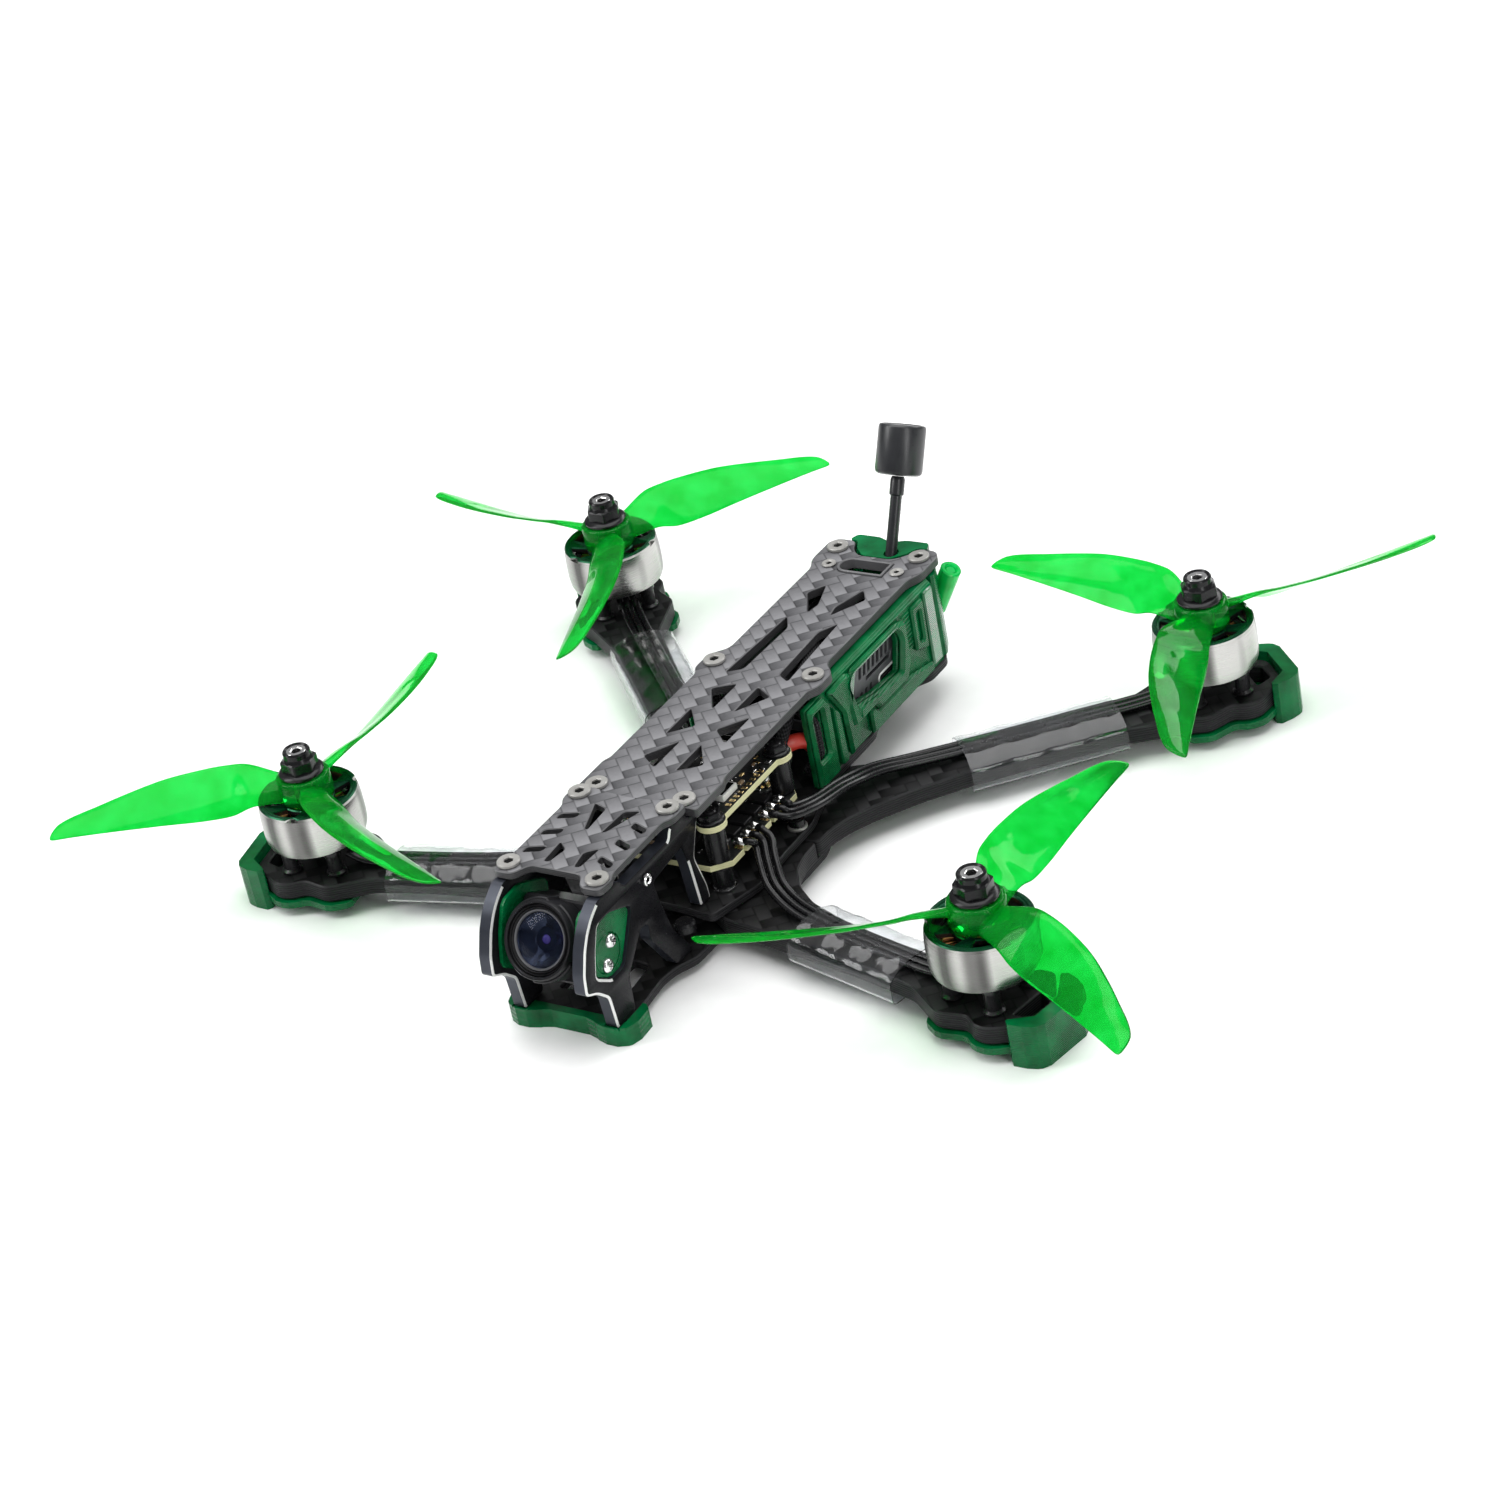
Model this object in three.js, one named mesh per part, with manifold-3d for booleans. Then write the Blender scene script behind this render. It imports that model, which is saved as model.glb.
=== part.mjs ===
// Quadcopter drone: carbon X frame, 225 mm class, four motors with three-blade propellers.
// Millimetres, +Z up, nose towards -Y. The origin is on the underside of the bottom plate,
// midway between the four motors.
import * as THREE from 'three';
import { mergeVertices } from 'three/addons/utils/BufferGeometryUtils.js';
import Module from 'manifold-3d';

const wasm = await Module();
wasm.setup();

// ---- driving dimensions ----
const GAP = 0.3;
const GROUND_Z = -2;

// motor positions: across and along, front pair and rear pair
const FRONT_MOTOR = { x: 94.8, y: -65.4, armAngle: -12 };
const REAR_MOTOR = { x: 88.4, y: 65.4, armAngle: 46 };

// levels of the plates
const BOTTOM_TOP = 2.35;
const ARM_BOTTOM = BOTTOM_TOP + GAP;
const ARM_TOP = 7.35;
const MIDDLE_BOTTOM = ARM_TOP + GAP;
const MIDDLE_TOP = 10;
const FLOOR = MIDDLE_TOP + GAP;
const TOP_BOTTOM = 34.1;
const TOP_TOP = 36.6;
const FRONT_BOTTOM = 36.6;
const FRONT_TOP = 38.6;

// propeller and motor
const PROP_RADIUS = 64.8;
const PROP_Z = 29.2;
const HUB_RADIUS = 6.8;
const HUB_HEIGHT = 7;
const BELL_RADIUS = 13;
const BELL_BOTTOM = 14.9;
const BELL_TOP = 26.9;
const STATOR_RADIUS = 10.6;
const SHAFT_RADIUS = 2.4;
const NUT_TOP = 39.5;
const LEG_OFFSET = 6.2;
const BLADES = 3;

// screws of the top plates
const HEAD_RADIUS = 2.8;
const HEAD_HEIGHT = 1.1;
const SHANK_RADIUS = 1.4;
const HOLE_RADIUS = 1.8;
const REAR_POST = [12, 61.1];
const EAR_POST = [14.3, 2.7];
const CAGE_SCREWS = [[12.4, -54.8, TOP_TOP], [12.4, -61.6, FRONT_TOP], [12.3, -92, FRONT_TOP]];

// cage side plates and camera
const CAGE_INNER = 11.3;
const CAGE_OUTER = 14.8;
const CAMERA_PIVOT = [-96, 21.5];
const CAMERA_TILT = 30;
const CAMERA_HALF = 9.5;
const TRUNNION_RADIUS = 4.7;

// electronics stack
const STACK_CENTRE_Y = -35;
const STACK_HALF_PITCH = 15.25;
const BOARD_HALF = 19;
const BOARD_THICKNESS = 1.6;
const SPEED_BOARD_Z = 16.2;
const FLIGHT_BOARD_Z = 27.2;

// ---- materials ----
const material = (color, roughness, metalness, opacity = 1) => new THREE.MeshStandardMaterial({
  color, roughness, metalness, opacity, transparent: opacity < 1,
});
const carbonGrey = material(0x5c5c60, 0.45, 0);
const carbonBlack = material(0x1b1b1c, 0.5, 0);
const anodised = material(0x17191d, 0.4, 0.8);
const greenPrint = material(0x0f7a3c, 0.4, 0, 0.8);
const greenBlade = material(0x08c832, 0.15, 0, 0.7);
const silver = material(0xcfcfcb, 0.3, 1);
const blackPlastic = material(0x141415, 0.5, 0);
const blackSteel = material(0x1a1a1b, 0.35, 0.7);
const boardBlack = material(0x0d0f10, 0.5, 0);
const videoGrey = material(0x3a3b3e, 0.5, 0.3);
const wireBlack = material(0x121213, 0.45, 0);
const wireRed = material(0xb02a22, 0.45, 0);
const clearFilm = material(0xe4e8ee, 0.1, 0, 0.25);
const glass = material(0x101622, 0.05, 0, 0.6);

const drone = new THREE.Group();
const degrees = THREE.MathUtils.degToRad;

// ---- solid helpers ----

// a closed, position-only geometry with its faces pointing out
function closed(geometry) {
  geometry.deleteAttribute('normal');
  geometry.deleteAttribute('uv');
  const merged = mergeVertices(geometry, 1e-4);
  const a = new THREE.Vector3();
  const b = new THREE.Vector3();
  const c = new THREE.Vector3();
  const index = merged.index.array;
  const position = merged.attributes.position;
  let volume = 0;
  for (let i = 0; i < index.length; i += 3) {
    a.fromBufferAttribute(position, index[i]);
    b.fromBufferAttribute(position, index[i + 1]);
    c.fromBufferAttribute(position, index[i + 2]);
    volume += a.dot(b.cross(c));
  }
  if (volume < 0) {
    for (let i = 0; i < index.length; i += 3) {
      [index[i], index[i + 1]] = [index[i + 1], index[i]];
    }
  }
  return merged;
}

function toSolid(geometry) {
  const merged = closed(geometry);
  return new wasm.Manifold(new wasm.Mesh({
    numProp: 3,
    vertProperties: new Float32Array(merged.attributes.position.array),
    triVerts: new Uint32Array(merged.index.array),
  }));
}

function toGeometry(solid) {
  const mesh = solid.getMesh();
  const geometry = new THREE.BufferGeometry();
  geometry.setAttribute('position', new THREE.BufferAttribute(mesh.vertProperties, 3));
  geometry.setIndex(new THREE.BufferAttribute(mesh.triVerts, 1));
  return geometry;
}

const join = (first, ...others) => toGeometry(
  others.reduce((solid, other) => solid.add(toSolid(other)), toSolid(first)));
const cut = (first, ...tools) => toGeometry(
  tools.reduce((solid, tool) => solid.subtract(toSolid(tool)), toSolid(first)));

function addPart(name, geometry, look) {
  const mesh = new THREE.Mesh(closed(geometry), look);
  mesh.name = name;
  drone.add(mesh);
  return mesh;
}

// ---- outline helpers ----

const signedArea = (points) => points.reduce((sum, [x, y], i) => {
  const [nextX, nextY] = points[(i + 1) % points.length];
  return sum + (x * nextY - nextX * y) / 2;
}, 0);

// closed anticlockwise shape; a radius rounds every corner by about that much
function roundedShape(points, radius, Type = THREE.Shape) {
  const corners = signedArea(points) > 0 ? points : [...points].reverse();
  if (radius === 0) {
    return new Type(corners.map((point) => new THREE.Vector2(...point)));
  }
  const shape = new Type();
  corners.forEach((point, i) => {
    const corner = new THREE.Vector2(...point);
    const before = new THREE.Vector2(...corners.at(i - 1)).sub(corner);
    const after = new THREE.Vector2(...corners[(i + 1) % corners.length]).sub(corner);
    const reach = Math.min(radius, before.length() * 0.45, after.length() * 0.45);
    const start = corner.clone().addScaledVector(before.normalize(), reach);
    const end = corner.clone().addScaledVector(after.normalize(), reach);
    if (i === 0) {
      shape.moveTo(start.x, start.y);
    } else {
      shape.lineTo(start.x, start.y);
    }
    shape.quadraticCurveTo(corner.x, corner.y, end.x, end.y);
  });
  shape.closePath();
  return shape;
}

const flipX = (points) => points.map(([x, y]) => [-x, y]);
const onSide = (points, side) => (side > 0 ? points : flipX(points));

// full outline from its +X half, which starts and ends on the centre line; an end that lies
// on a straight edge across the centre line is left out
function symmetric(half) {
  const inner = half.slice(1, -1);
  const ends = [half[0], half.at(-1)].map((end, i) => (
    end[1] === inner.at(-i)[1] ? [] : [end]));
  return [...ends[0], ...inner, ...ends[1], ...flipX(inner).reverse()];
}

// the outline moved outwards by a distance
function grown(points, distance) {
  const sign = Math.sign(signedArea(points));
  return points.map((point, i) => {
    const here = new THREE.Vector2(...point);
    const incoming = here.clone().sub(new THREE.Vector2(...points.at(i - 1))).normalize();
    const outgoing = new THREE.Vector2(...points[(i + 1) % points.length]).sub(here).normalize();
    const normalIn = new THREE.Vector2(incoming.y, -incoming.x);
    const normalOut = new THREE.Vector2(outgoing.y, -outgoing.x);
    const bisector = normalIn.add(normalOut).normalize();
    const slant = Math.max(bisector.x * outgoing.y - bisector.y * outgoing.x, 0.4);
    return here.addScaledVector(bisector, sign * distance / slant).toArray();
  });
}

// ---- geometry helpers ----

function extruded(points, depth, radius, holes) {
  const shape = roundedShape(points, radius);
  shape.holes = holes;
  return new THREE.ExtrudeGeometry(shape, { depth, bevelEnabled: false, curveSegments: 1 });
}

function slab(points, low, high, radius = 0, holes = []) {
  return extruded(points, high - low, radius, holes).translate(0, 0, low);
}

// outline in Y and Z, extruded along X
function sideSlab(points, low, high, radius = 0, holes = []) {
  const axes = new THREE.Matrix4().makeBasis(
    new THREE.Vector3(0, 1, 0), new THREE.Vector3(0, 0, 1), new THREE.Vector3(1, 0, 0));
  return extruded(points, high - low, radius, holes).applyMatrix4(axes).translate(low, 0, 0);
}

// eight-sided hole around a circle of the given radius
function roundHole([x, y], radius) {
  const sides = 8;
  const reach = radius / Math.cos(Math.PI / sides);
  return new THREE.Path(Array.from({ length: sides }, (_, i) => {
    const angle = 2 * Math.PI * i / sides;
    return new THREE.Vector2(x + reach * Math.cos(angle), y + reach * Math.sin(angle));
  }));
}

const cutOut = (points, radius = 0) => roundedShape(points, radius, THREE.Path);
const pairOf = (points) => [cutOut(points), cutOut(flipX(points))];

// surface of revolution about Z from [radius, height] pairs
function turned(profile, segments = 20) {
  const points = profile.map(([radius, height]) => new THREE.Vector2(radius, height));
  return new THREE.LatheGeometry(points, segments).rotateX(Math.PI / 2);
}

function disc(radius, low, high, segments = 20) {
  return turned([[0, low], [radius, low], [radius, high], [0, high]], segments);
}

function block([x0, y0, z0], [x1, y1, z1]) {
  const geometry = new THREE.BoxGeometry(x1 - x0, y1 - y0, z1 - z0);
  return geometry.translate((x0 + x1) / 2, (y0 + y1) / 2, (z0 + z1) / 2);
}

// closed body through rings of equal point counts
function loft(rings) {
  const count = rings[0].length;
  const positions = rings.flat(2);
  const index = [];
  for (let r = 0; r < rings.length - 1; r += 1) {
    for (let k = 0; k < count; k += 1) {
      const a = r * count + k;
      const b = r * count + (k + 1) % count;
      index.push(a, b, b + count, a, b + count, a + count);
    }
  }
  const last = (rings.length - 1) * count;
  for (let k = 1; k < count - 1; k += 1) {
    index.push(0, k + 1, k, last, last + k, last + k + 1);
  }
  const geometry = new THREE.BufferGeometry();
  geometry.setAttribute('position', new THREE.Float32BufferAttribute(positions, 3));
  geometry.setIndex(index);
  return geometry;
}

// ---- carbon plates ----

const nosePlateHalf = [
  [0, -96], [14.3, -96], [14.8, -90], [13.6, -79], [14.4, -74], [17.2, -68.5], [17.4, -60],
  [20, -55], [24.4, -43], [24.4, -20], [20, -5], [15, 6], [13, 11], [0, 11],
];

function bottomPlate() {
  const lightening = pairOf([[2.6, -88.4], [8.8, -89.4], [7.8, -75], [2.8, -74.2]]);
  return slab(symmetric(nosePlateHalf), 0, BOTTOM_TOP, 0, lightening);
}

function middlePlate() {
  const half = [
    [0, -60.6], [10, -60.8], [18.6, -62], [20.5, -56], [23.2, -47], [22.8, -39], [22.3, -34],
    [22.3, -20], [19.5, -10], [16.5, -2], [16.8, 13], [16.8, 21], [15, 25], [15, 46],
    [17.5, 49.5], [17.5, 58], [14, 63], [0, 63],
  ];
  return slab(symmetric(half), MIDDLE_BOTTOM, MIDDLE_TOP);
}

// slot for the battery leads: square on the right, a half circle on the left
const LEAD_SLOT = [
  [7, 50], [7, 57],
  ...Array.from({ length: 7 }, (_, i) => {
    const angle = Math.PI / 2 + Math.PI * i / 6;
    return [-4 + 3.5 * Math.cos(angle), 53.5 + 3.5 * Math.sin(angle)];
  }),
];

function leadGrommet() {
  const rim = new THREE.Shape(grown(LEAD_SLOT, -GAP).map((point) => new THREE.Vector2(...point)));
  rim.holes = [new THREE.Path(grown(LEAD_SLOT, -1).map((point) => new THREE.Vector2(...point)))];
  return new THREE.ExtrudeGeometry(rim, { depth: 3, bevelEnabled: false })
    .translate(0, 0, TOP_BOTTOM + 0.1);
}

function topPlate() {
  const half = [
    [0, -57.8], [7.5, -57.8], [15, -57.2], [17.2, -57.5], [17.2, -45], [16.3, -43], [16.3, -3.5],
    [18, -1], [18, 5.5], [14.2, 9.5], [14.2, 50.5], [16.2, 54.5], [16.2, 63.5], [14.5, 65.8],
    [9.2, 65.8], [8, 62], [5, 59.1], [0, 59.1],
  ];
  const screws = [REAR_POST, EAR_POST, CAGE_SCREWS[0]].flatMap(([x, y]) => [
    roundHole([x, y], HOLE_RADIUS), roundHole([-x, y], HOLE_RADIUS),
  ]);
  const windows = [
    ...pairOf([[-8.5, 39], [-5.5, 43.5], [-2.5, 34], [-3.3, 30]]),
    ...pairOf([[-7.5, 27], [-4.5, 22], [-5.2, 1.5], [-9, -1]]),
    ...pairOf([[-8.5, -8.5], [-3, -5], [-3, -17]]),
    ...pairOf([[-8.5, -18], [-3, -25], [-8.5, -30]]),
    ...pairOf([[-3, -32], [-8.5, -40], [-3, -44]]),
  ];
  const leadSlot = new THREE.Path(LEAD_SLOT.map((point) => new THREE.Vector2(...point)));
  return slab(symmetric(half), TOP_BOTTOM, TOP_TOP, 1.2, [...screws, ...windows, leadSlot]);
}

function frontTopPlate() {
  const half = [
    [0, -91], [7, -91], [9.5, -95.5], [14.8, -95.5], [15.4, -91], [14, -88], [14, -67],
    [15.6, -64.5], [15.6, -58.4], [9, -58.4], [7, -59], [0, -59.6],
  ];
  const screws = CAGE_SCREWS.slice(1).flatMap(([x, y]) => [
    roundHole([x, y], HOLE_RADIUS), roundHole([-x, y], HOLE_RADIUS),
  ]);
  const slots = [-70.5, -77.5, -85].flatMap((y) => pairOf(
    [[-12.2, y - 2], [-7.6, y - 0.2], [-7.6, y + 2], [-12.2, y + 0.2]]));
  const windows = [
    ...pairOf([[-6.5, -64], [-2.5, -65.5], [-2, -74.5], [-3, -74]]),
    ...pairOf([[-5.5, -80.5], [-2.5, -83], [-3.5, -88.5], [-5, -88.5]]),
  ];
  return slab(symmetric(half), FRONT_BOTTOM, FRONT_TOP, 1, [...screws, ...slots, ...windows]);
}

// ---- arms and their guards ----

// the lobed end of an arm: distance past the motor centre along the arm, offset to the side
const ARM_END = [
  [-10, -11], [-5.5, -12.9], [1.4, -10.4], [5, -12.5], [8.5, -12.2], [12.5, -9], [17, -5],
  [17, 5], [12.5, 9], [8.5, 12.2], [5, 12.5], [1.4, 10.4], [-5.5, 12.9], [-10, 11],
];
const FRONT_ROOT_BEFORE = [[0.3, -24.2], [0.3, -45], [9, -52], [19.5, -59], [30, -60.4],
  [60, -65.6], [77, -69.8]];
const FRONT_ROOT_AFTER = [[79, -58], [60, -54.3], [46, -50.2], [37, -46.5], [30.5, -41.5],
  [26.5, -35.5], [25.3, -30], [25.3, -24.2]];
const REAR_ROOT_BEFORE = [[0.3, -23.9], [25.3, -23.9], [25.8, -18], [27.5, -12.5], [31, -6],
  [38, 4], [47, 14.5], [60, 27.3], [75, 41.3]];
const REAR_ROOT_AFTER = [[70, 55], [55, 39.5], [43, 27.5], [35, 20.3], [25, 13.5], [15, 8],
  [0.3, 8]];

// points given along and across an arm, turned to the arm's angle and moved to its motor
function atMotor(points, motor) {
  const angle = degrees(motor.armAngle);
  return points.map(([along, across]) => [
    motor.x + along * Math.cos(angle) - across * Math.sin(angle),
    motor.y + along * Math.sin(angle) + across * Math.cos(angle),
  ]);
}

function arm(motor, before, after, side) {
  const outline = [...before, ...atMotor(ARM_END, motor), ...after];
  const holes = [[1, 1], [1, -1], [-1, 1], [-1, -1]].map(([a, b]) => roundHole(
    onSide(atMotor([[a * LEG_OFFSET, b * LEG_OFFSET]], motor), side)[0], 1.3));
  return slab(onSide(outline, side), ARM_BOTTOM, ARM_TOP, 0, holes);
}

// the block round the far end of an arm, in the same directions
const GUARD_TIP = [
  [12.6, -11], [18.3, -9.6], [21, -7.4], [21, 7.4], [18.3, 9.6], [12.6, 11],
];

function armGuard(motor, side) {
  const place = (points) => onSide(atMotor(points, motor), side);
  const pad = slab(place(grown(ARM_END, 0.9)), 0.6, BOTTOM_TOP, 1);
  const tip = slab(place(GUARD_TIP), GROUND_Z, 9.5, 1.2);
  const armSpace = slab(place(grown(ARM_END, GAP)), BOTTOM_TOP, 12);
  return cut(join(pad, tip), armSpace);
}

// ---- cage, bumper, rear housing ----

const CAGE_PROFILE = [
  [-96.8, 36.3], [-100.4, 34], [-102.8, 31.6], [-105, 28.2], [-107.3, 22.5], [-107.9, 17.5],
  [-104, 15.5], [-100.4, 12], [-99.6, 2.65], [-91.8, 2.65], [-91.3, 12], [-87.5, 15.8],
  [-83.5, 20], [-80.5, 19.5], [-80.8, 15], [-73, 2.65], [-66, 2.65], [-72, 12], [-74.5, 22],
  [-75.5, 27.5], [-62.5, 29], [-61.2, 23], [-59.9, FLOOR], [-55.6, FLOOR], [-56, 14.5],
  [-58.6, 23.5], [-54.6, 31.8], [-52.2, 31.8], [-52.2, 33.8], [-58.1, 33.8], [-58.1, 36.3],
  [-65.5, 36.3], [-67, 33.5], [-86, 33.5], [-88, 36.3],
];
const CAGE_WINDOW = [
  [-98.5, 31], [-93.5, 31.2], [-85.2, 27.7], [-85.8, 25.5], [-92, 15.3], [-97.5, 15.3],
  [-103, 19.2], [-101, 25.5],
];

// one side plate with its three top screws
function cageSide(side) {
  const window = cutOut(CAGE_WINDOW, 0.8);
  const plate = sideSlab(CAGE_PROFILE, CAGE_INNER, CAGE_OUTER, 0, [window]);
  const screws = CAGE_SCREWS.map(([x, y, plateTop]) => turned([
    [0, plateTop - 4.5], [SHANK_RADIUS, plateTop - 4.5], [SHANK_RADIUS, plateTop + 0.1],
    [HEAD_RADIUS, plateTop + 0.1], [HEAD_RADIUS, plateTop + HEAD_HEIGHT],
    [0, plateTop + HEAD_HEIGHT],
  ], 10).translate(x, y, 0));
  return join(plate, ...screws).scale(side, 1, 1);
}

// the soft plate between the camera and one side plate, with a pad that fills the cage window
function cradle(side) {
  const backing = [
    [-99.5, 33.4], [-92.8, 33.8], [-82.8, 29], [-83.4, 24.5], [-90.5, 13.2], [-98, 13.2],
    [-105, 18.6], [-103, 26.6],
  ];
  const plate = sideSlab(backing, CAMERA_HALF + 0.6, CAGE_INNER - GAP, 1);
  const pad = sideSlab(grown(CAGE_WINDOW, -GAP), CAGE_INNER - 0.6, CAGE_OUTER - 1, 0.8);
  const seat = disc(TRUNNION_RADIUS + GAP, 0, 10, 24).rotateY(Math.PI / 2);
  return cut(join(plate, pad), seat.translate(CAMERA_HALF - 1, ...CAMERA_PIVOT))
    .scale(side, 1, 1);
}

function bumper() {
  const outer = [
    [0, -98.4], [6.5, -98.4], [9.5, -100.4], [15.5, -100.4], [18, -97.5], [17.6, -89.5], [0, -89.5],
  ];
  const shell = slab(symmetric(outer), GROUND_Z, 3.1, 1.5);
  const space = slab(grown(symmetric(nosePlateHalf), GAP), -GAP, 5);
  const footSpace = (side) => block([Math.min(side * 10.9, side * 15.2), -100, BOTTOM_TOP],
    [Math.max(side * 10.9, side * 15.2), -90, 5]);
  return cut(shell, space, footSpace(1), footSpace(-1));
}

// side panel of the rear bay: a folded wall with a window onto the video unit
const PANEL_LENGTH = 65;
const PANEL_REAR = 57;

function sidePanel(side) {
  const wall = [
    [13, 33.8], [15, 33.8], [18.8, 29.5], [18.8, 16], [17.4, FLOOR], [15.2, FLOOR],
    [17, 16.4], [17, 28.8], [13, 31.8],
  ];
  const panel = extruded(wall, PANEL_LENGTH, 0.5, []).rotateX(Math.PI / 2)
    .translate(0, PANEL_REAR, 0);
  const window = sideSlab([[13.3, 22.5], [11.2, 30.2], [13, 31.2], [35, 31], [36.3, 28.5], [34.8, 20.5],
    [23, 19.8]], 12, 22, 1);
  const meshSlot = sideSlab([[-5.5, 15], [-5.5, 27], [-2.5, 27], [-2.5, 15]], 12, 22, 1.4);
  const postSpace = disc(2.5, 0, TOP_TOP, 12).translate(...EAR_POST, 0);
  return cut(panel, window, meshSlot, postSpace).scale(side, 1, 1);
}

const ANTENNA_BASE = [3, 62.6, TOP_TOP];
const ANTENNA_LEAN = 28;
const leanBack = (geometry) => geometry.rotateX(-degrees(ANTENNA_LEAN)).translate(...ANTENNA_BASE);

// receiver tube, standing out of the right rear corner
const TUBE_RADIUS = 2.75;
const TUBE_LENGTH = 14;
const placeTube = (geometry) => geometry.rotateY(degrees(28)).translate(11, 66.7, 19);

function rearCap() {
  const lower = [[0, 67.4], [4, 69.2], [9.5, 69.2], [14.5, 64.5], [17, 59.5], [17, 58], [9, 58], [9, 64],
    [0, 64]];
  const upper = [[0, 67.4], [4, 69.2], [10.5, 69.2], [11.5, 66.3], [9, 66.3], [7.2, 62.6], [4, 59.6],
    [0, 59.6]];
  const body = join(
    slab(symmetric(lower), FLOOR, TOP_BOTTOM - GAP, 0.6),
    slab(symmetric(upper), TOP_BOTTOM - 3, 36.4, 0.6));
  const postSpace = [1, -1].map((side) => disc(3, 0, TOP_TOP, 12)
    .translate(side * REAR_POST[0], REAR_POST[1], 0));
  const stemSpace = leanBack(disc(2, -8, 10, 12));
  const tubeSpace = placeTube(disc(TUBE_RADIUS + GAP, -GAP, TUBE_LENGTH + 10, 16));
  return cut(body, ...postSpace, stemSpace, tubeSpace);
}

// post between the middle and the top plate, with the screw that holds the top plate
function post(x, y, radius) {
  return turned([
    [0, FLOOR], [radius, FLOOR], [radius, TOP_BOTTOM - GAP], [SHANK_RADIUS, TOP_BOTTOM - GAP],
    [SHANK_RADIUS, TOP_TOP + 0.1], [HEAD_RADIUS, TOP_TOP + 0.1],
    [HEAD_RADIUS, TOP_TOP + HEAD_HEIGHT], [0, TOP_TOP + HEAD_HEIGHT],
  ], 14).translate(x, y, 0);
}

// ---- electronics ----

function videoUnit() {
  const outline = symmetric([[0, 10], [13, 10], [15, 12], [15, 48], [13, 50], [0, 50]]);
  const port = block([13, 24, 22.3], [17, 31, 25.3]);
  return cut(slab(outline, 14, 29.8, 0.6), port);
}

function boardOutline(notch) {
  const half = [[0, -BOARD_HALF], [BOARD_HALF - notch, -BOARD_HALF], [BOARD_HALF, notch - BOARD_HALF],
    [BOARD_HALF, BOARD_HALF - notch], [BOARD_HALF - notch, BOARD_HALF], [0, BOARD_HALF]];
  return symmetric(half).map(([x, y]) => [x, y + STACK_CENTRE_Y]);
}

const stackCorners = [[1, 1], [1, -1], [-1, 1], [-1, -1]].map(([a, b]) => [
  a * STACK_HALF_PITCH, STACK_CENTRE_Y + b * STACK_HALF_PITCH,
]);

function flightController() {
  const holes = stackCorners.map((corner) => roundHole(corner, 1.8));
  return slab(boardOutline(3), FLIGHT_BOARD_Z, FLIGHT_BOARD_Z + BOARD_THICKNESS, 2, holes);
}

// lower board with the four bolts, spacers and nuts that carry the stack
function speedController() {
  const board = slab(boardOutline(4), SPEED_BOARD_Z, SPEED_BOARD_Z + BOARD_THICKNESS, 1);
  const bolts = stackCorners.map(([x, y]) => turned([
    [0, FLOOR], [2.9, FLOOR], [2.9, FLIGHT_BOARD_Z - GAP], [SHANK_RADIUS, FLIGHT_BOARD_Z - GAP],
    [SHANK_RADIUS, FLIGHT_BOARD_Z + BOARD_THICKNESS + GAP],
    [2.9, FLIGHT_BOARD_Z + BOARD_THICKNESS + GAP], [2.9, 31.4], [0, 31.4],
  ], 8).translate(x, y, 0));
  return join(board, ...bolts);
}

// flat bundle of three wires along a route
function wireBundle(route) {
  const wireRadius = 0.95;
  const pitch = 1.75;
  const section = new THREE.Shape([
    [-wireRadius, -pitch], [-wireRadius, pitch], [-0.4, pitch + wireRadius],
    [0.4, pitch + wireRadius], [wireRadius, pitch], [wireRadius, -pitch],
    [0.4, -pitch - wireRadius], [-0.4, -pitch - wireRadius],
  ].map(([x, y]) => new THREE.Vector2(x, y)));
  return alongRoute(section, route, 16);
}

function alongRoute(section, route, steps) {
  const path = new THREE.CatmullRomCurve3(route.map((point) => new THREE.Vector3(...point)));
  return new THREE.ExtrudeGeometry(section, { steps, bevelEnabled: false, extrudePath: path });
}

// battery lead from the lower board over the video unit to the slot in the top plate
const POWER_ROUTE = [
  [8.5, -15.2, 18.4], [10.4, -13.2, 20.6], [11.2, -11.2, 25.6], [10.4, -5, 29.8],
  [7, 6, 32], [3.4, 24, 32], [2.6, 48.6, 32],
];

function powerLead(side) {
  const radius = 1.5;
  const section = new THREE.Shape(Array.from({ length: 8 }, (_, i) => new THREE.Vector2(
    radius * Math.cos(Math.PI * i / 4), radius * Math.sin(Math.PI * i / 4))));
  return alongRoute(section, POWER_ROUTE.map(([x, y, z]) => [side * x, y, z]), 20);
}

const FRONT_WIRE_ROUTE = [
  [19.5, -40, 17], [21.2, -40.1, 17], [24.6, -44, 14.6], [29, -48.4, 11.2],
  [37, -52.6, 9.4], [48, -56.2, 9], [64, -60.4, 9], [80, -63.8, 9],
];
const REAR_WIRE_ROUTE = [
  [19.5, -27, 17], [21.2, -26.9, 17], [23.6, -19, 15.4], [23.8, -6, 12.6],
  [26.6, 4.6, 10.6], [34, 13.6, 9.4], [46, 25.2, 9], [62, 40.4, 9], [77, 54.8, 9],
];

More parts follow.
